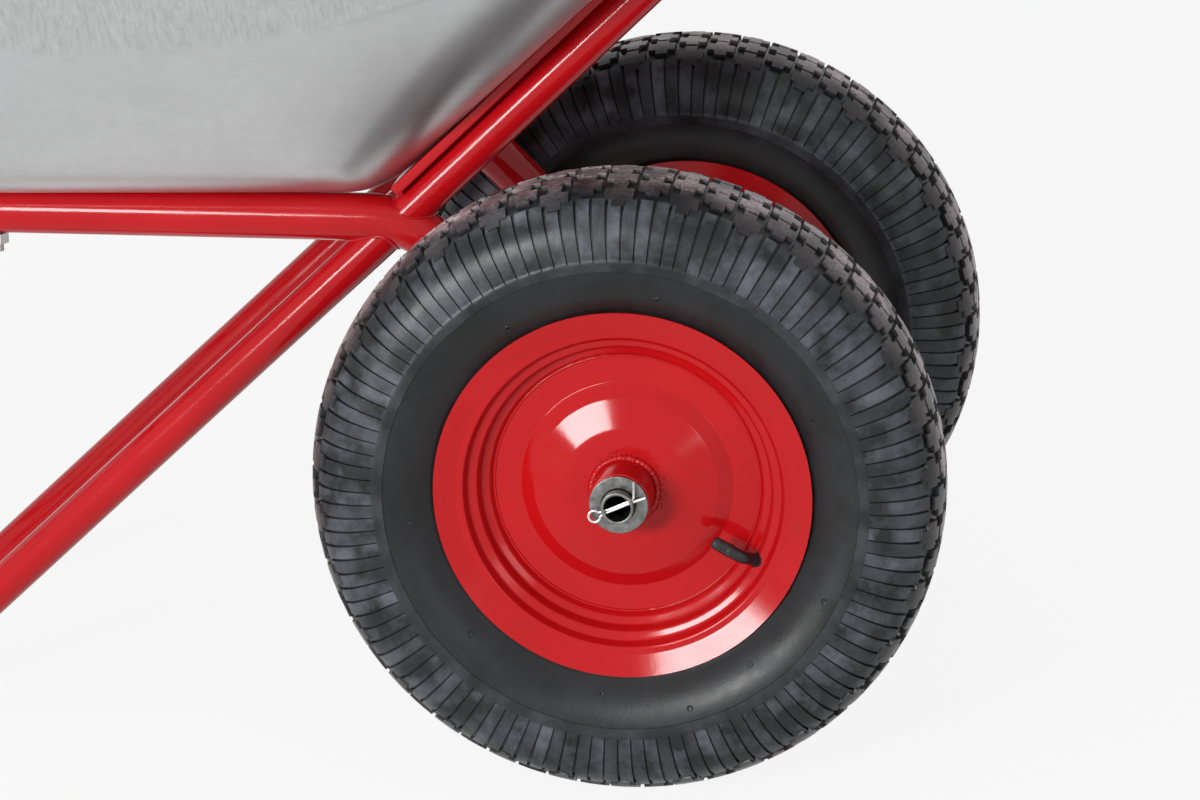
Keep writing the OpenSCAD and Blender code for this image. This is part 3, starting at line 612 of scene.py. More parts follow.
FRAME_RED = red_paint("frame_red", rgb(0.455, 0.005, 0.009), rgb(0.395, 0.004, 0.007), 0.12)
WHEEL_RED = red_paint("wheel_red", rgb(0.475, 0.005, 0.007), rgb(0.415, 0.004, 0.006), 0.11)
ZINC_SHEET = galvanised()
DULL_STEEL = bare_metal("dull_steel", rgb(0.25, 0.25, 0.245), rgb(0.14, 0.14, 0.135), 0.34)
ZINC_PLATE = bare_metal("zinc_plate", rgb(0.72, 0.73, 0.72), rgb(0.56, 0.57, 0.57), 0.28)
RUBBER = tyre_rubber()
SOFT_RUBBER = plain_plastic("soft_rubber", rgb(0.018, 0.018, 0.019), rgb(0.008, 0.008, 0.009), 0.30)
CAP_PLASTIC = plain_plastic("cap_plastic", rgb(0.030, 0.028, 0.028), rgb(0.012, 0.011, 0.011), 0.30)
CAGE_NYLON = plain_plastic("cage_nylon", rgb(0.75, 0.72, 0.63), rgb(0.66, 0.63, 0.55), 0.45)
GRIP_RUBBER = plain_plastic("grip_rubber", rgb(0.026, 0.026, 0.027), rgb(0.012, 0.012, 0.013), 0.6)


# ---- frame tubes, drawn on the left


def main_tube_line():
    """Up and back from the axle, level under the tub, then up and out to the handle."""
    front_tangent = FRONT_BEND * tan(DROP / 2)
    handle_tangent = HANDLE_BEND * tan(HANDLE_TURN / 2)
    level = HANDLE_BACK - handle_tangent - DECK / tan(DROP) - front_tangent
    steps = [
        (DECK / sin(DROP) - front_tangent, 180, FRONT_BEND, DROP),
        (level, 180 + HANDLE_LEAN, HANDLE_BEND, HANDLE_TURN),
        (HANDLE_LEN - handle_tangent, 0, 0, 0),
    ]
    return run((0, TUBE_Y, 0), (-cos(DROP), 0, sin(DROP)), (sin(DROP), 0, cos(DROP)), steps)


def leg_line():
    front = (DECK - FOOT_Z) / sin(LEG_SLOPE) - LEG_TANGENT
    rear = (DECK - FOOT_Z) / sin(LEG_REAR_SLOPE) - LEG_REAR_TANGENT
    steps = [
        (front, 0, LEG_BEND, LEG_SLOPE),
        (FOOT_LEN - LEG_TANGENT - LEG_REAR_TANGENT, 0, LEG_BEND, LEG_REAR_SLOPE),
        (rear, 0, 0, 0),
    ]
    heading = (-cos(LEG_SLOPE), 0, -sin(LEG_SLOPE))
    return run((-KNEE, TUBE_Y, DECK), heading, (-sin(LEG_SLOPE), 0, cos(LEG_SLOPE)), steps)


STRUT_WAY = Vector((cos(STRUT_SLOPE), 0, sin(STRUT_SLOPE)))
STRUT_UP = Vector((-sin(STRUT_SLOPE), 0, cos(STRUT_SLOPE)))


def hoop_line():
    """Up one strut, across the front and down the other."""
    across = Vector((0, 1, 0))
    side = STRUT_LEN - STRUT_BEND
    steps = [
        (side, 0, STRUT_BEND, 90),
        (2 * (TUBE_Y - STRUT_BEND), 0, STRUT_BEND, 90),
        (side, 0, 0, 0),
    ]
    return run((-KNEE, -TUBE_Y, DECK), STRUT_WAY, across, steps)


MAIN_LINE = main_tube_line()
LEG_LINE = leg_line()
HOOP_LINE = hoop_line()


def red(name, shape, nodes=(), sharp=35):
    make(name, shape, "frame", "red_paint", FRAME_RED, nodes, sharp)


def red_pairs(*pieces):
    """Painted pieces that come in pairs: each one's name, its CAD node and its left shape."""
    for side, sign in SIDES:
        for name, node, shape in pieces:
            red(f"{name}_{side}", mirrored(shape, sign), [f"{node}_{side}"])


def frame_tubes():
    main = tube(MAIN_LINE, TUBE_R, WALL, 48)
    leg = tube(trimmed(LEG_LINE, 1, 3), BRACE_R, WALL, 44)
    red_pairs(("frame_tube", "main_tube", main), ("leg_tube", "leg", leg))
    red("hoop_tube", tube(trimmed(HOOP_LINE, 1, 1), BRACE_R, WALL, 44), ["front_hoop"])
    for name, x, z, radius, cut in (("leg_cross", LEG_CROSS_X, LEG_CROSS_Z, CROSS_R, BRACE_R - 2),
                                    ("rear_cross", REAR_CROSS_X, DECK, BRACE_R, TUBE_R - 2)):
        reach = TUBE_Y - cut
        line = run((x, -reach, z), (0, 1, 0), (0, 0, 1), [(2 * reach, 0, 0, 0)])
        red(f"{name}_bar", tube(line, radius, WALL, 40), [f"{name}_tube"])


def flat_matrix(origin, way, up):
    """A frame whose X runs along way and whose Z is up."""
    return moved(*origin) @ axes(way, up.cross(way), up)


REAR_WAY = Vector((-cos(REAR_SLOPE), 0, sin(REAR_SLOPE)))
REAR_OUT = Vector((-sin(REAR_SLOPE), 0, -cos(REAR_SLOPE)))


def flats():
    """The rest bars on the struts, the straps behind the tub and the foot plates."""
    low = BRACE_R + WELD_GAP
    bar = box((REST_START, -REST_W / 2, low),
              (REST_START + REST_LEN, REST_W / 2, low + REST_T), 0.9)
    bar = placed(bar, flat_matrix((-KNEE, TUBE_Y, DECK), STRUT_WAY, STRUT_UP))
    stay = box((STAY_START, -STAY_W / 2, SEAT_GAP),
               (STAY_START + STAY_LEN, STAY_W / 2, SEAT_GAP + STAY_T), 0.8)
    stay = placed(stay, flat_matrix((FLOOR_REAR_X, STAY_Y, FLOOR_Z), REAR_WAY, REAR_OUT))
    plate = box((PLATE_X - PLATE_LEN / 2, TUBE_Y - PLATE_W / 2, GROUND),
                (PLATE_X + PLATE_LEN / 2, TUBE_Y + PLATE_W / 2, GROUND + PLATE_T), 0.9)
    red_pairs(("rest_flat", "rest_bar", bar), ("stay_strap", "rear_stay", stay),
              ("foot_pad", "foot_plate", plate))


def frame_welds():
    """Rippled beads where the frame's tubes and flats are joined."""
    knee, root, inwards = (-KNEE, TUBE_Y, DECK), (0, TUBE_Y, 0), (0, -1, 0)
    leg_end = LEG_LINE[-1]
    main, leg = (MAIN_LINE, TUBE_R), (LEG_LINE, BRACE_R)
    # Where each tube starts, its way and radius, the tube that it meets and the bead's size.
    joints = (
        (knee, STRUT_WAY, BRACE_R, main, 0.8),
        (knee, LEG_LINE[0][1], BRACE_R, main, 1.25),
        (leg_end[0], -leg_end[1], BRACE_R, main, 1.3),
        ((LEG_CROSS_X, TUBE_Y, LEG_CROSS_Z), inwards, CROSS_R, leg, 1.3),
        ((REAR_CROSS_X, TUBE_Y, DECK), inwards, BRACE_R, main, 1.4),
        (root, (0, 1, 0), AXLE_R, main, 1.6),
        (root, inwards, AXLE_R, main, 1.6),
    )
    beads = [bead(seam(foot, way, radius, *met), size, seed=k + 1)
             for k, (foot, way, radius, met, size) in enumerate(joints)]
    # Three stitches along each rest bar, and one on each side of a foot.
    stitch, inset, sunk = 26, 5.5, 1.6
    foot = Vector((-KNEE, TUBE_Y - inset, DECK)) + STRUT_UP * (BRACE_R + WELD_GAP - sunk)
    for start in (34, 130, 236):
        line = between(foot + STRUT_WAY * start, foot + STRUT_WAY * (start + stitch), 22)
        beads.append(bead(line, 1.7, closed=False, seed=start))
    half, aside, z = 15, 6.5, GROUND + PLATE_T + 1
    for y in (TUBE_Y - aside, TUBE_Y + aside):
        line = between((PLATE_X - half, y, z), (PLATE_X + half, y, z), 24)
        beads.append(bead(line, 1.9, closed=False, seed=int(y)))
    red("frame_welds", both(join(*beads)), sharp=70)


# ---- grips


def grips():
    """Moulded grips with rounded ribs, a thumb flange and a domed end."""
    rib, pitch, ribs, fine = 1.2, 7.0, 15, 6
    outline = [(GRIP_END, 0.02), (GRIP_END, 8.0), (GRIP_END - 1.6, 13.5), (1.0, GRIP_R - 2.2)]
    outline = [(-(SEAT_GAP + x), r) for x, r in outline]
    low = GRIP_R - rib
    for k in range(ribs * fine + 1):
        x = 3.0 + k * pitch / fine
        outline.append((x, low + rib * (0.5 - 0.5 * math.cos(2 * math.pi * k / fine)) ** 0.7))
    end = GRIP_LEN - GRIP_END - SEAT_GAP
    outline += [(end - 8, low), (end - 4, low + 0.6), (end - 3, GRIP_R + rib), (end, GRIP_R + rib),
                (end, TUBE_R + SEAT_GAP), (SEAT_GAP, TUBE_R + SEAT_GAP), (SEAT_GAP, 0.02)]
    shape = lathe(rounded(outline, 0.6, 2), 48, closed=False)
    place, heading, _ = MAIN_LINE[-1]
    shape = placed(shape, moved(*place) @ turn_to(-heading))
    for side, sign in SIDES:
        make(f"hand_grip_{side}", mirrored(shape, sign), "frame", "grip_plastic", GRIP_RUBBER,
             [f"grip_{side}"], sharp=50)


# ---- tub


BEND_ROWS, ROLL_ROWS = 11, 15


def wall_tilt(angle, low, low_r, high, high_r):
    """How far below level the skin's normal points, at an angle round one corner of the tub."""
    way = np.array([cos(angle), sin(angle)])
    reach = way @ (np.array(high) - np.array(low)) + high_r
    rise = TUB_H - FLOOR_BEND
    return math.degrees(math.acos(low_r / math.hypot(reach, rise)) - math.atan2(rise, reach))


def tub_column(angle, low, high):
    """One line up a corner of the tub, along the sheet's middle: the bend from the floor, the
    wall's foot, top and outward way, and the roll round the rim."""
    low_r, high_r = FLOOR_BEND - SHEET / 2, RIM_CORNER - SHEET / 2
    tilt = wall_tilt(angle, low, low_r, high, high_r)
    way = Vector((cos(angle), sin(angle), 0))
    centre = Vector((*low, FLOOR_Z + FLOOR_BEND))
    bend = []
    for k in range(BEND_ROWS):
        a = 90 + (tilt - 90) * k / (BEND_ROWS - 1)
        bend.append(centre + way * low_r * cos(a) - Vector((0, 0, low_r * sin(a))))
    top = Vector((*high, RIM_Z)) + way * high_r
    out = way * cos(tilt) - Vector((0, 0, sin(tilt)))
    radius = BEAD_R - SHEET / 2
    middle = top + way * BEAD_R
    roll = [middle + way * radius * cos(180 - 20 * k) + Vector((0, 0, radius * sin(180 - 20 * k)))
            for k in range(ROLL_ROWS)]
    return np.array([*bend, top, out, *roll])


# Where along the barrow the die's line stands how far up the wall.
DIE_LINE_X = [-800, -640, -560, -440, -330, -256, -225, -195, -168, -140, -110, -80]
DIE_LINE_UP = [0.60, 0.46, 0.37, 0.335, 0.335, 0.35, 0.364, 0.388, 0.422, 0.468, 0.53, 0.60]


def tub_wall(column):
    """A line up the tub with its straight wall drawn in, and the die's line as a low ridge."""
    bend, (top, out), roll = column[:BEND_ROWS], column[BEND_ROWS:-ROLL_ROWS], column[-ROLL_ROWS:]
    foot = bend[-1]
    line = float(np.interp((foot[0] + top[0]) / 2, DIE_LINE_X, DIE_LINE_UP))
    shares = [0.12, 0.24, line - 0.03, line - 0.012, line, line + 0.012, line + 0.03,
              *np.linspace(line + 0.06, 0.985, 8)]
    proud, narrow = 0.35, 0.008
    wall = [foot + (top - foot) * share + out * proud * math.exp(-((share - line) / narrow) ** 2)
            for share in shares]
    return np.array([*bend, *wall, *roll])


def tub():
    """The pressed tub: one sheet, its floor, walls and corners in one smooth skin."""
    # Each end's corner centres: along at the floor, across at the floor, along at the rim.
    front = (FLOOR_FRONT_X - FLOOR_BEND * tan(STRUT_SLOPE / 2), FLOOR_FRONT_Y,
             RIM_FRONT_X - RIM_CORNER)
    rear = (FLOOR_REAR_X + FLOOR_BEND * tan(REAR_SLOPE / 2), FLOOR_REAR_Y,
            RIM_REAR_X + RIM_CORNER)
    corners = [((low_x, sign * low_y), (high_x, sign * (RIM_Y - RIM_CORNER)))
               for (low_x, low_y, high_x), sign in zip((front, rear, rear, front), (1, 1, -1, -1))]
    columns, fan = [], 22
    for index, corner in enumerate(corners):
        columns += [tub_column(90 * index + 90 * k / fan, *corner) for k in range(fan + 1)]
        following = (index + 1) % 4
        last, after = columns[-1], tub_column(90 * following, *corners[following])
        fill = 40 if index % 2 == 0 else 20
        columns += [last + (after - last) * k / fill for k in range(1, fill)]
    walls = np.array([tub_wall(column) for column in columns])
    points, faces = grid(walls, close_rows=True)
    rows = walls.shape[1]
    floor = [k * rows for k in range(len(columns))]
    # The streaks run from the die's line, in row 15, to just under the rim.
    drawn = np.interp(np.arange(rows), [14, 16, rows - 17, rows - 14], [0, 1, 1, 0])
    piece = make("tub_skin", (points, faces + [floor]), "frame", "galvanised", ZINC_SHEET, ["tub"],
                 sharp=40, layers={"drawn": np.tile(drawn, len(columns)).astype(np.float32)})
    sheet = piece.modifiers.new("sheet", "SOLIDIFY")
    sheet.thickness = SHEET * MM
    sheet.offset = 0
    sheet.use_even_offset = True


# ---- wheels, drawn on the left


TYRE_MID_R = FLANGE_R + (TYRE_R - FLANGE_R) * 0.44


def tyre_section():
    """The outside of the tyre from its crown to its foot, as [out, radius]."""
    fullness, steps = 0.74, 400
    rise = TYRE_R - TYRE_MID_R
    crown = [(TYRE_HALF * cos(a) ** fullness, TYRE_MID_R + rise * sin(a) ** fullness)
             for a in (90 * (1 - k / steps) for k in range(steps + 1))]
    crown[0], crown[-1] = (0.0, TYRE_R), (TYRE_HALF, TYRE_MID_R)
    drop = (TYRE_MID_R - FLANGE_R) * 1.33
    foot_r = FLANGE_R + 3
    wall = [(TYRE_HALF * math.sqrt(1 - ((TYRE_MID_R - r) / drop) ** 2), r)
            for r in np.linspace(TYRE_MID_R, foot_r, 80)[1:]]
    return np.array(crown + wall)


BLOCKS = 30
PITCH = 2 * math.pi * TYRE_R / BLOCKS
BLOCK_WIDE, BLOCK_NECK = 9.3, 4.4
ROW_STEP, BLOCK_ARM, BLOCK_TALL, TREAD_ROWS = 11.0, 5.0, 9.8, 3
RIBS_PER_BLOCK, RIB_START, RIB_TOP = 4, 7.3, 36.0
RIB_STEP = PITCH / RIBS_PER_BLOCK
GROOVE_WIDE, GROOVE_THIN, GROOVE_DEEP, GROOVE_SHALLOW = 0.9, 0.3, 3.0, 1.1
RIB_SUNK, RIB_RISE, RING_SUNK, WALL_SUNK = 1.1, 0.7, 0.15, 0.7
RIB_END_R, RING_END_R = 152.0, 145.0
STEP = 0.25


def tread_height(u, v):
    """1 on a block, 0 in a groove: u runs round the tyre and v out from the crown, in mm."""
    height = np.zeros(np.broadcast(u, v).shape)
    for row in range(-TREAD_ROWS, TREAD_ROWS + 1):
        shift = PITCH / 2 if row % 2 else 0.0
        du = np.abs((u - shift + PITCH / 2) % PITCH - PITCH / 2)
        dv = np.abs(v - row * ROW_STEP)
        arm = (du < BLOCK_WIDE) & (dv < BLOCK_ARM)
        neck = (du < BLOCK_NECK) & (dv < BLOCK_TALL)
        height = np.maximum(height, (arm | neck).astype(float))
    return height


def lines_round(taper):
    """The grid's lines round the tyre, both sides of every step; taper narrows the grooves."""
    columns = []
    for shift in (0.0, PITCH / 2):
        for edge in (-BLOCK_WIDE, -BLOCK_NECK, BLOCK_NECK, BLOCK_WIDE):
            columns += [((shift + edge + side) % PITCH, 0) for side in (-STEP, STEP)]
    for k in range(RIBS_PER_BLOCK):
        middle = RIB_START + k * RIB_STEP
        for side in (-STEP, STEP):
            columns += [(middle - GROOVE_WIDE + side, 1), (middle + GROOVE_WIDE + side, -1)]
    columns = np.array(sorted(columns))
    base = np.concatenate([columns[:, 0] + k * PITCH for k in range(BLOCKS)])
    pull = np.tile(columns[:, 1], BLOCKS)
    return base[None, :] + pull[None, :] * taper[:, None] * (GROOVE_WIDE - GROOVE_THIN)


def casing_inside():
    """The tyre's foot, its bead in the rim and the inside of the casing, as [out, radius]."""
    bead_z = FLANGE_Z - PRESS - SEAT_GAP
    foot = [(bead_z, FLANGE_R + 0.8), (bead_z - 1.8, FLANGE_R - 5), (bead_z - 3.2, SEAT_R - 0.1),
            (bead_z - 11.5, SEAT_R - 2.3), (bead_z - 13, SEAT_R + 6)]
    inside = [(bead_z - 2, FLANGE_R + 4), (TYRE_HALF - SIDE_T, TYRE_MID_R), (38.0, 174.0),
              (20.0, 182.5), (0.0, 184.0)]
    return np.array(there_and_back(rounded(foot + inside, 3.0, 3)))


def tyre():
    """Block tread, ribbed shoulders, a ring and a smooth wall down to the bead."""
    section = tyre_section()
    length = np.concatenate([[0], np.cumsum(np.linalg.norm(np.diff(section, axis=0), axis=1))])
    rib_end, ring_end = (float(np.interp(-r, -section[:, 1], length))
                         for r in (RIB_END_R, RING_END_R))
    last = TREAD_ROWS * ROW_STEP + BLOCK_TALL

    edges = {round(row * ROW_STEP + half, 3) for row in range(TREAD_ROWS + 1)
             for half in (-BLOCK_TALL, -BLOCK_ARM, BLOCK_ARM, BLOCK_TALL)} | {RIB_TOP}
    v = sorted(edge + side for edge in edges if edge > 0 for side in (-STEP, STEP))
    v += [*np.linspace(last + 2.5, rib_end - 1.5, 9), rib_end - STEP, rib_end + STEP]
    v += [rib_end + 2, ring_end - 2, ring_end - STEP, ring_end + STEP]
    v += [*np.linspace(ring_end + 2.5, length[-1], 9)]
    v = np.array([-x for x in v[::-1]] + v)

    far = np.abs(v)[:, None]
    fade = np.clip((far - RIB_TOP) / (rib_end - RIB_TOP), 0, 1)
    u = lines_round(fade[:, 0])
    out = np.sign(v) * np.interp(np.abs(v), length, section[:, 0])
    radius = np.interp(np.abs(v), length, section[:, 1])
    slope_out, slope_r = np.gradient(out, v), np.gradient(radius, v)
    norm = np.hypot(slope_out, slope_r)
    normal = np.stack([-slope_r / norm, slope_out / norm], axis=1)

    raised = tread_height(u, v[:, None])
    groove = GROOVE_WIDE - fade * (GROOVE_WIDE - GROOVE_THIN)
    phase = (u - RIB_START + RIB_STEP / 2) % RIB_STEP - RIB_STEP / 2
    in_groove = np.abs(phase) < groove
    rib_zone = (far > RIB_TOP) & (far < rib_end)
    ring_zone = (far >= rib_end) & (far < ring_end)
    rib_depth = np.where(in_groove, GROOVE_DEEP - fade * (GROOVE_DEEP - GROOVE_SHALLOW),
                         RIB_SUNK - RIB_RISE * fade)
    depth = np.where(rib_zone, rib_depth, np.full(u.shape, TREAD_DEPTH))
    depth = np.where(ring_zone, RING_SUNK, depth)
    depth = np.where(far >= ring_end, WALL_SUNK, depth) * (1 - raised)
    out_2d = out[:, None] - depth * normal[:, :1]
    radius_2d = radius[:, None] - depth * normal[:, 1:]

    close = casing_inside()
    shape_of_close = (len(close), u.shape[1])
    out_all = np.concatenate([out_2d, np.broadcast_to(close[:, :1], shape_of_close)])
    r_all = np.concatenate([radius_2d, np.broadcast_to(close[:, 1:], shape_of_close)])
    angle = np.concatenate([u, np.broadcast_to(u[-1:], shape_of_close)]) / TYRE_R
    points = np.stack([r_all * np.cos(angle), out_all, r_all * np.sin(angle)], axis=-1)
    shape = grid(points, close_rows=True, close_cols=True)

    rng = random.Random(3)
    # Painted sheen: the shoulder ribs get lighter and darker tones by turns, and the ring band a
    # light one, in place of the rubber's reflection.
    rib_sheen_tones = np.array([0.75 + 0.35 * rng.random() if k % 2 else 0.35 + 0.35 * rng.random()
                      for k in range(BLOCKS * RIBS_PER_BLOCK)])
    rib_index = np.floor((u - RIB_START) / RIB_STEP).astype(int) % len(rib_sheen_tones)
    rib = np.where(rib_zone & ~in_groove & (raised < 0.5), rib_sheen_tones[rib_index], 0.0)
    rib = np.where(ring_zone, 0.3, rib)
    row_dust = np.interp(far, [0, 12, 18, 27, 38, 46], [1.0, 0.95, 0.6, 0.22, 0.05, 0.0])
    pad = np.zeros(shape_of_close)
    layers = {"rib": np.concatenate([rib, pad]).astype(np.float32).ravel(),
              "dust": np.concatenate([raised * row_dust, pad]).astype(np.float32).ravel()}
    return shape, layers


def round_wheel(shape, angle):
    """A shape drawn in front of the axle, carried up round it."""
    return placed(shape, Matrix.Rotation(radians(-angle), 4, "Y"))


def vents():
    """Round vent marks on the wall, and the fine hairs that moulding leaves."""
    rng = random.Random(11)
    marks, hairs = 14, 44
    wall_r = np.array([TYRE_R, TYRE_MID_R, 142, 132, 126, 119])
    wall_out = [0, TYRE_HALF, 49.1, 45.8, 42.3, 36.3]
    shapes = []
    for k in range(marks):
        angle = 360 * k / marks + rng.uniform(-9, 9)
        radius = rng.choice([126.0, 129.0, 137.5, 147.0])
        out = np.interp(-radius, -wall_r, wall_out)
        mark = lathe([(0.35, 0.9), (0.55, 1.3), (0.55, 1.7), (0.2, 2.1), (-0.6, 2.1),
                      (-0.6, 0.9)], 14)
        tilt = 22 if radius < 135 else 8
        leant = placed(mark, moved(radius, out - 0.6, 0) @ Matrix.Rotation(radians(tilt), 4, "Z"))
        shapes.append(round_wheel(leant, angle))
    for k in range(hairs):
        angle = 360 * k / hairs + rng.uniform(-4, 4)
        out, radius = rng.choice([(0.0, 195.0), (7.0, 194.3), (14.0, 192.6), (26.0, 187.5)])
        way = Vector((rng.uniform(-0.5, 0.5), rng.uniform(0.2, 0.9), 0.45)).normalized()
        start = Vector((radius - 1.5, out, 0))
        tip = start + Vector((way.z, way.y, way.x)) * rng.uniform(3.0, 5.0)
        # In front and on the ground, where the tyre ends the object's box, a hair stays inside.
        over = 2.2 if max(cos(angle), -sin(angle)) < 0.975 else -0.5
        tip.x = min(tip.x, TYRE_R + over)
        way = (tip - start).normalized()
        across = way.orthogonal().normalized()
        hair = capped(rings([(start, way, across), (tip, way, across)], [0.32, 0.12], 6))
        shapes.append(round_wheel(hair, angle))
    return join(*shapes)


def offset_line(line, distance):
    """A line of [out, radius] points moved sideways by a distance."""
    line = np.array(line, float)
    way = np.gradient(line, axis=0)
    way /= np.maximum(np.linalg.norm(way, axis=1), 1e-9)[:, None]
    return line + distance * np.stack([way[:, 1], -way[:, 0]], axis=1)


def rim():
    """The rolled ring from one flange to the other."""
    # Each corner of the side that shows, [out, radius], and how far it is rounded.
    corners = (
        (FLANGE_Z, FLANGE_R, 0), (FLANGE_Z - 4.9, SEAT_R + 2, 3.0),
        (FLANGE_Z - 5.7, SEAT_R - 2.4, 2.2), (FLANGE_Z - 12, SEAT_R - 4.5, 3.2),
        (FLANGE_Z - 14, SEAT_R - 10, 2.6), (FLANGE_Z - 21, SEAT_R - 11.5, 2.6),
        (FLANGE_Z - 23, WELL_R + 2.2, 2.4), (RING_Z, WELL_R, 1.4), (0, WELL_R, 0),
    )
    whole = there_and_back(rounded([corner[:2] for corner in corners],
                                   [corner[2] for corner in corners], 5))
    back = offset_line(whole, PRESS)
    back[0], back[-1] = (FLANGE_Z - PRESS, FLANGE_R), (-FLANGE_Z + PRESS, FLANGE_R)
    lip = [(FLANGE_Z - 0.3, FLANGE_R), (FLANGE_Z - 1.0, FLANGE_R)]
    return lathe([*whole, *[(-z, r) for z, r in lip], *back[::-1], *lip[::-1]], 192)


STEM_R, STEM_FOOT_R, STEM_FOOT_Z, STEM_TILT = 3.9, SEAT_R - 9.5, FLANGE_Z - 17, 45.0
STEM_OUT, STEM_BEND, STEM_REACH, STEM_HOLE_R = 10.0, 8.0, 13.0, 5.0
STEM_WAY = Vector((-sin(STEM_TILT), cos(STEM_TILT), 0))
STEM_TURN = turn_to(STEM_WAY)
# The valve is drawn with X radially out, Y out of the wheel and Z round it, then turned.
VALVE_TURN = Matrix.Rotation(radians(28.0), 4, "Y")


def stem_line():
    """From inside the tyre out through the rim, and then in towards the hub."""
    inwards = Vector((-cos(STEM_TILT), -sin(STEM_TILT), 0))
    hidden = (FLANGE_R + 1.5 - STEM_FOOT_R) / cos(STEM_TILT) + 2
    start = Vector((STEM_FOOT_R, STEM_FOOT_Z, 0)) - STEM_WAY * hidden
    steps = [(hidden + STEM_OUT, 0, STEM_BEND, 90 - STEM_TILT), (STEM_REACH, 0, 0, 0)]
    return run(start, STEM_WAY, inwards, steps, 6)


def stem():
    """The valve's rubber stem, with a grommet where it leaves the rim."""
    bore = STEM_R - 0.4
    lip = lathe([(0.6, bore), (0.6, 4.4), (-0.4, 4.9), (-1.6, 4.7), (-1.6, bore)], 32)
    lip = placed(lip, moved(STEM_FOOT_R - 0.6, STEM_FOOT_Z + 1.2, 0) @ STEM_TURN)
    return placed(join(rod(stem_line(), STEM_R, 0.8, 32), lip), VALVE_TURN)


def cut_hole(piece, matrix, radius, sign):
    """A drilled hole in a piece, made with a round cutter that isn't kept."""
    reach = 20
    line = run((0, -reach, 0), (0, 1, 0), (1, 0, 0), [(2 * reach, 0, 0, 0)])
    shape = mirrored(placed(rod(line, radius, 0.5, 40), matrix), sign)
    cutter = linked("cutter", closed_mesh("cutter", shape))
    drill = piece.modifiers.new("hole", "BOOLEAN")
    drill.object = cutter
    drill.operation = "DIFFERENCE"
    drill.solver = "EXACT"
    bpy.context.view_layer.update()
    ready = piece.evaluated_get(bpy.context.evaluated_depsgraph_get())
    drilled = bpy.data.meshes.new_from_object(ready)
    piece.modifiers.remove(drill)
    piece.data = drilled
    bpy.data.objects.remove(cutter)
    shade(drilled, 35)


def dome_profile():
    """A wheel disc's face: a flat top, a cone, a steeper edge and the ring."""
    top = RING_Z + DOME_H
    line = [(top, HUB_R + 0.1), (top, DOME_TOP_R - 2), (RING_Z + 5.2, DOME_R - 9.5),
            (RING_Z, DOME_R - 0.5), (RING_Z, WELL_R - 0.1)]
    return [tuple(point) for point in rounded(line, [0, 24, 6, 1.6, 0], 10)]


def disc():
    face = dome_profile()
    edge = WELL_R - WELD_GAP
    under = [(RING_Z - 6, edge), (RING_Z - 6, edge - PRESS), (RING_Z - PRESS, edge - PRESS),
             (RING_Z - PRESS, DOME_R + 1.4)]
    inner = [(z - PRESS, r - 0.35 * PRESS * max(0.0, (r - DOME_TOP_R) / DOME_R))
             for z, r in face[::-1] if r < DOME_R]
    return lathe(face + under + inner, 160)


def wheel_welds():
    """The bead round the hub, and the seam between disc and rim."""
    hub = bead(ring_points(RING_Z + DOME_H + 0.4, HUB_R + 1.3, 150), 2.3, ripple=0.2, seed=21)
    outer = bead(ring_points(RING_Z + 0.1, WELL_R - 0.4, 200), 0.9, ripple=0.1, seed=22, around=8)
    inner = [mirrored(shape, -1) for shape in (hub, outer)]
    return join(hub, outer, *inner)


def spatter():
    """Small beads of weld spatter round the hub's weld."""
    rng = random.Random(5)
    shapes = []
    for _ in range(46):
        angle = rng.uniform(0, 360)
        r = HUB_R + rng.uniform(2.5, 6.5)
        size = rng.uniform(0.35, 0.85)
        ball = lathe([(size, 0.02), (size * 0.8, size * 0.6), (size * 0.3, size * 0.95),
                      (-0.3, size), (-0.3, 0.02)], 10, closed=False)
        spot = (r * cos(angle), RING_Z + DOME_H, r * sin(angle))
        shapes.append(shifted(ball, *spot))
    return join(*shapes)


def split_pin():
    """One half-round wire bent to an eye; its two legs go through the axle, one bent up."""
    wire, eye_r, gap, turned, bent_by, past = 0.9, 3.6, 0.72, 66, 66, 3.8
    reach = AXLE_R + 2
    eye = [24 + (360 - 48) * k / 24 for k in range(25)]
    loop = [(eye_r * sin(a), eye_r * cos(a) - reach - eye_r) for a in eye]
    upper = [(gap, z) for z in (2.0 - reach, 0, reach - 1.5)]
    straight = [(gap + 0.2, reach + 2), (gap + 0.5, reach + 6)]
    lower = [(-gap, z) for z in (2.0 - reach, 0, reach - 2.0)]
    bent = [(-gap - t * sin(bent_by), reach - 1.0 + t * cos(bent_by)) for t in (1.2, 5, 11)]
    path = [Vector((x, 0, z)) for x, z in straight[::-1] + upper[::-1] + loop + lower + bent]
    stations = [(p, (after - before).normalized(), Vector((0, 1, 0)))
                for before, p, after in zip(path[:1] + path, path, path[1:] + path[-1:])]
    out = TRACK_HALF + WASHER_Z + WASHER_T + past
    turn = Matrix.Rotation(radians(turned), 4, "Y")
    return placed(rod(stations, wire, 0.3, 12), moved(0, out, 0) @ turn)


def valve_cap():
    """A fluted dust cap with a collar at its mouth."""
    place, heading, across = stem_line()[-1]
    flutes, around, deep, pushed_on = 8, 48, 0.28, 9.0
    profile = [(0.0, 3.7), (0.0, 4.2), (0.4, 4.4), (2.2, 4.4), (2.6, 4.0), (3.2, 4.1), (11.2, 3.9),
               (12.4, 3.3), (13.0, 2.4), (13.0, 0.02)]
    line = [(0.0, 0.02), *rounded(profile, 0.3, 2)]
    wave = np.cos(np.linspace(0, 2 * math.pi * flutes, around, endpoint=False))[:, None]
    stations = [(place + heading * (along - pushed_on), heading, across) for along, _ in line]
    radii = [radius - (deep * (0.5 + 0.5 * wave) if 3.0 < along < 11.6 else 0.0)
             for along, radius in line]
    return grid(rings(stations, radii, around), close_cols=True)


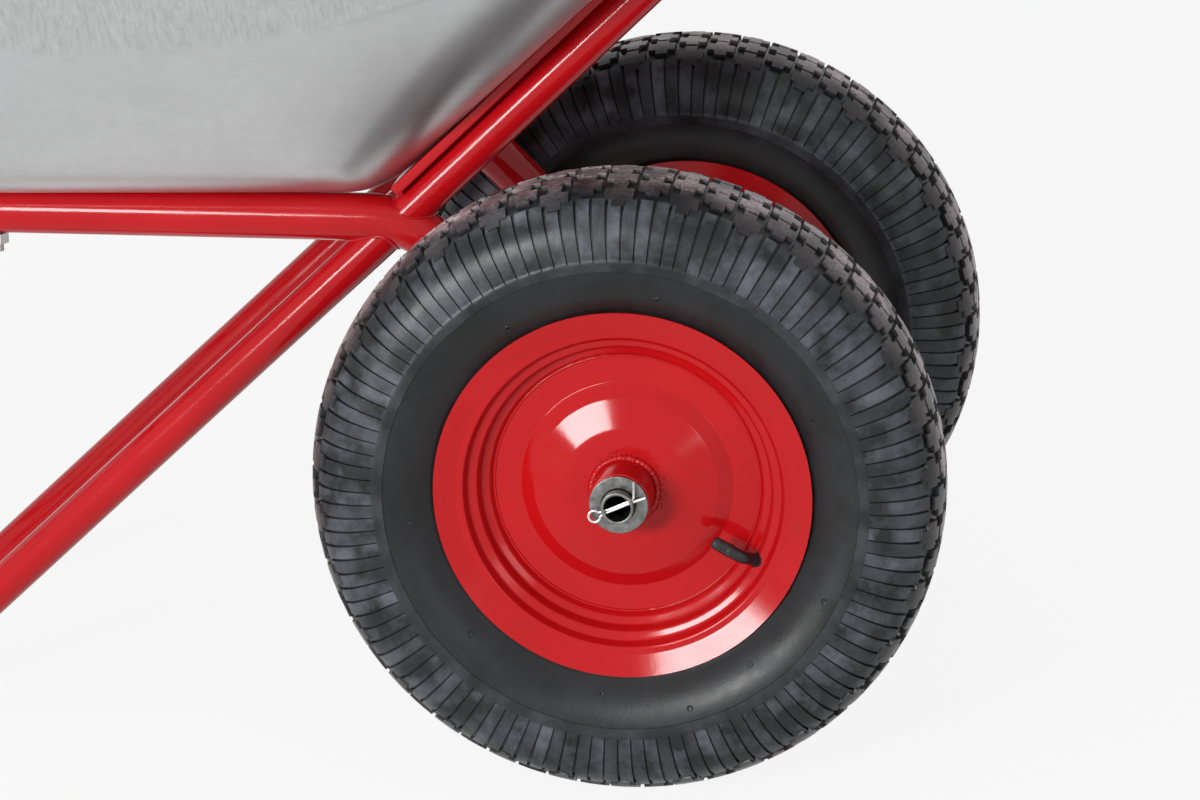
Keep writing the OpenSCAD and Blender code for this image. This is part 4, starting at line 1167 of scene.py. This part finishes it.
def wheels():
    """Everything that turns, once drawn and then set on each side."""
    tyre_shape, layers = tyre()
    hole = moved(0, TRACK_HALF, 0) @ VALVE_TURN @ moved(STEM_FOOT_R, STEM_FOOT_Z, 0) @ STEM_TURN
    hub = pipe(HUB_LEN / 2, HUB_R, HUB_BORE_R, 0.7, 96)
    for side, sign in SIDES:

        def put(name, shape, slot, paint, nodes, sharp=35, layers=None):
            shape = mirrored(shifted(shape, 0, TRACK_HALF, 0), sign)
            nodes = [f"{node}_{side}" for node in nodes]
            return make(f"{name}_{side}", shape, f"wheel_{side}", slot, paint, nodes, sharp, layers)

        def put_red(name, shape, nodes, sharp=35):
            return put(name, shape, "wheel_paint", WHEEL_RED, nodes, sharp)

        put("tyre_casing", tyre_shape, "tyre", RUBBER, ["tyre"], 30, layers)
        put("tyre_vents", vents(), "tyre", RUBBER, [])
        cut_hole(put_red("rim_ring", rim(), ["rim"]), hole, STEM_HOLE_R, sign)
        put_red("wheel_disc_outer", disc(), ["outer_disc"])
        put_red("wheel_disc_inner", mirrored(disc(), -1), ["inner_disc"])
        put_red("hub_sleeve", hub, ["hub_tube"])
        put_red("hub_weld", join(wheel_welds(), spatter()), [], 70)
        put("stem_elbow", stem(), "tube_rubber", SOFT_RUBBER, ["valve_stem"])
        put("dust_cap", placed(valve_cap(), VALVE_TURN), "cap_plastic", CAP_PLASTIC, ["valve_cap"])


def axle_pieces():
    """The axle's tube and what stays on it when the wheels turn."""
    axle = pipe((axle_high.y - axle_low.y) / 2 / MM, AXLE_R, AXLE_BORE_R, 0.5, 80)
    washers = [sleeve(start, start + WASHER_T, AXLE_R + 0.5, WASHER_R, 0.45, 80)
               for start in (TRACK_HALF + WASHER_Z, TRACK_HALF - WASHER_Z - WASHER_T)]
    collar = sleeve(TRACK_HALF - WASHER_Z - WASHER_T - HUB_PLAY, TUBE_Y + TUBE_R + WELD_GAP,
                    AXLE_R + 0.1, COLLAR_R, 0.8, 72)
    for name, shape, slot, paint, node in (
        ("axle_tube", axle, "plain_steel", DULL_STEEL, "axle"),
        ("wheel_washers", both(join(*washers)), "plain_steel", DULL_STEEL, "hub_washers"),
        ("collar_rings", both(collar), "plain_steel", DULL_STEEL, "axle_collars"),
        ("cotter_pins", both(split_pin()), "zinc_plate", ZINC_PLATE, "split_pins"),
    ):
        make(name, shape, "frame", slot, paint, [node])


def carried_over():
    """The CAD's own nodes that keep their shape: fasteners and what is inside."""
    finish = dict.fromkeys(("tub_bolts", "stay_bolts", "tub_washers", "tub_nuts"), ZINC_PLATE)
    finish["rim_wire"] = DULL_STEEL
    for side, _ in SIDES:
        finish[f"inner_tube_{side}"] = SOFT_RUBBER
        finish[f"bearing_cages_{side}"] = CAGE_NYLON
        finish[f"bearing_rollers_{side}"] = ZINC_PLATE
    for name, paint in finish.items():
        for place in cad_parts[name].material_slots:
            place.material = paint


# ---- stage, lights, camera


def stage_floor():
    """A wide pale floor that the camera sees as white and that keeps a soft shadow."""
    bm = bmesh.new()
    bmesh.ops.create_circle(bm, cap_ends=True, segments=96, radius=9.0)
    mesh = bpy.data.meshes.new("floor")
    bm.to_mesh(mesh)
    bm.free()
    floor = linked("floor", mesh)
    floor.location = (0, 0, -0.0005)
    material = bpy.data.materials.new("pale_floor")
    look = Nodes(material)
    look.tree.nodes.clear()
    matte = look.node("ShaderNodeBsdfDiffuse", Color=rgb(0.82, 0.82, 0.82)).outputs[0]
    glow = look.node("ShaderNodeEmission", Strength=1.0).outputs[0]
    look.show_to_camera(matte, glow, "ShaderNodeOutputMaterial", 0.88)
    mesh.materials.append(material)


def world_light():
    world = bpy.data.worlds.new("studio")
    bpy.context.scene.world = world
    look = Nodes(world)
    look.tree.nodes.clear()
    soft, white = (look.node("ShaderNodeBackground", Color=colour, Strength=strength).outputs[0]
                   for colour, strength in ((rgb(0.97, 0.985, 1.0), 0.38), (rgb(1, 1, 1), 1.0)))
    look.show_to_camera(soft, white, "ShaderNodeOutputWorld")


NEAR_WHEEL = AXLE + Vector((-0.02, -0.2, 0.0))


def softbox(name, way, distance, size, radiance, along=(1, 0, 0)):
    """A flat lamp that faces the near wheel from the direction way, its length laid along."""
    lamp = bpy.data.lights.new(name, "AREA")
    lamp.shape = "RECTANGLE"
    lamp.size, lamp.size_y = size
    lamp.energy = radiance * size[0] * size[1] * math.pi
    way = Vector(way).normalized()
    side = way.cross(Vector(along)).normalized()
    place = moved(*(NEAR_WHEEL + way * distance))
    linked(name, lamp).matrix_world = place @ axes(side.cross(way), side, way)


def lights():
    softbox("key", (-0.43, -0.87, 0.24), 3.0, (1.25, 0.55), 35.0, along=(-0.52, 0, -0.28))
    softbox("top", (-0.1, -0.25, 1.0), 2.8, (3.2, 2.6), 0.4)
    softbox("fill", (0.50, -0.85, 0.16), 3.2, (0.70, 0.70), 3.2)


CAMERA_AZIMUTH, CAMERA_ELEVATION, CAMERA_ROLL = 7.650, 16.838, -0.70
CAMERA_LENS, CAMERA_DISTANCE = 139.586, 2.8441
CAMERA_AIM = Vector((-0.0173, -0.1900, 0.0504))


def camera():
    a, e = CAMERA_AZIMUTH, CAMERA_ELEVATION
    back = Vector((sin(a) * cos(e), -cos(a) * cos(e), sin(e)))
    right = Vector((cos(a), sin(a), 0))
    up = back.cross(right)
    turn = axes(right, up, back) @ Matrix.Rotation(radians(CAMERA_ROLL), 4, "Z")
    data = bpy.data.cameras.new("camera")
    data.lens = CAMERA_LENS
    data.sensor_width = 36.0
    data.clip_end = 50.0
    eye = linked("camera", data)
    eye.matrix_world = moved(*(AXLE + CAMERA_AIM + back * CAMERA_DISTANCE)) @ turn
    bpy.context.scene.camera = eye


# ---- the whole


camera()
lights()
world_light()
stage_floor()
frame_tubes()
flats()
frame_welds()
grips()
tub()
wheels()
axle_pieces()
carried_over()
bpy.context.scene.view_settings.view_transform = "Standard"
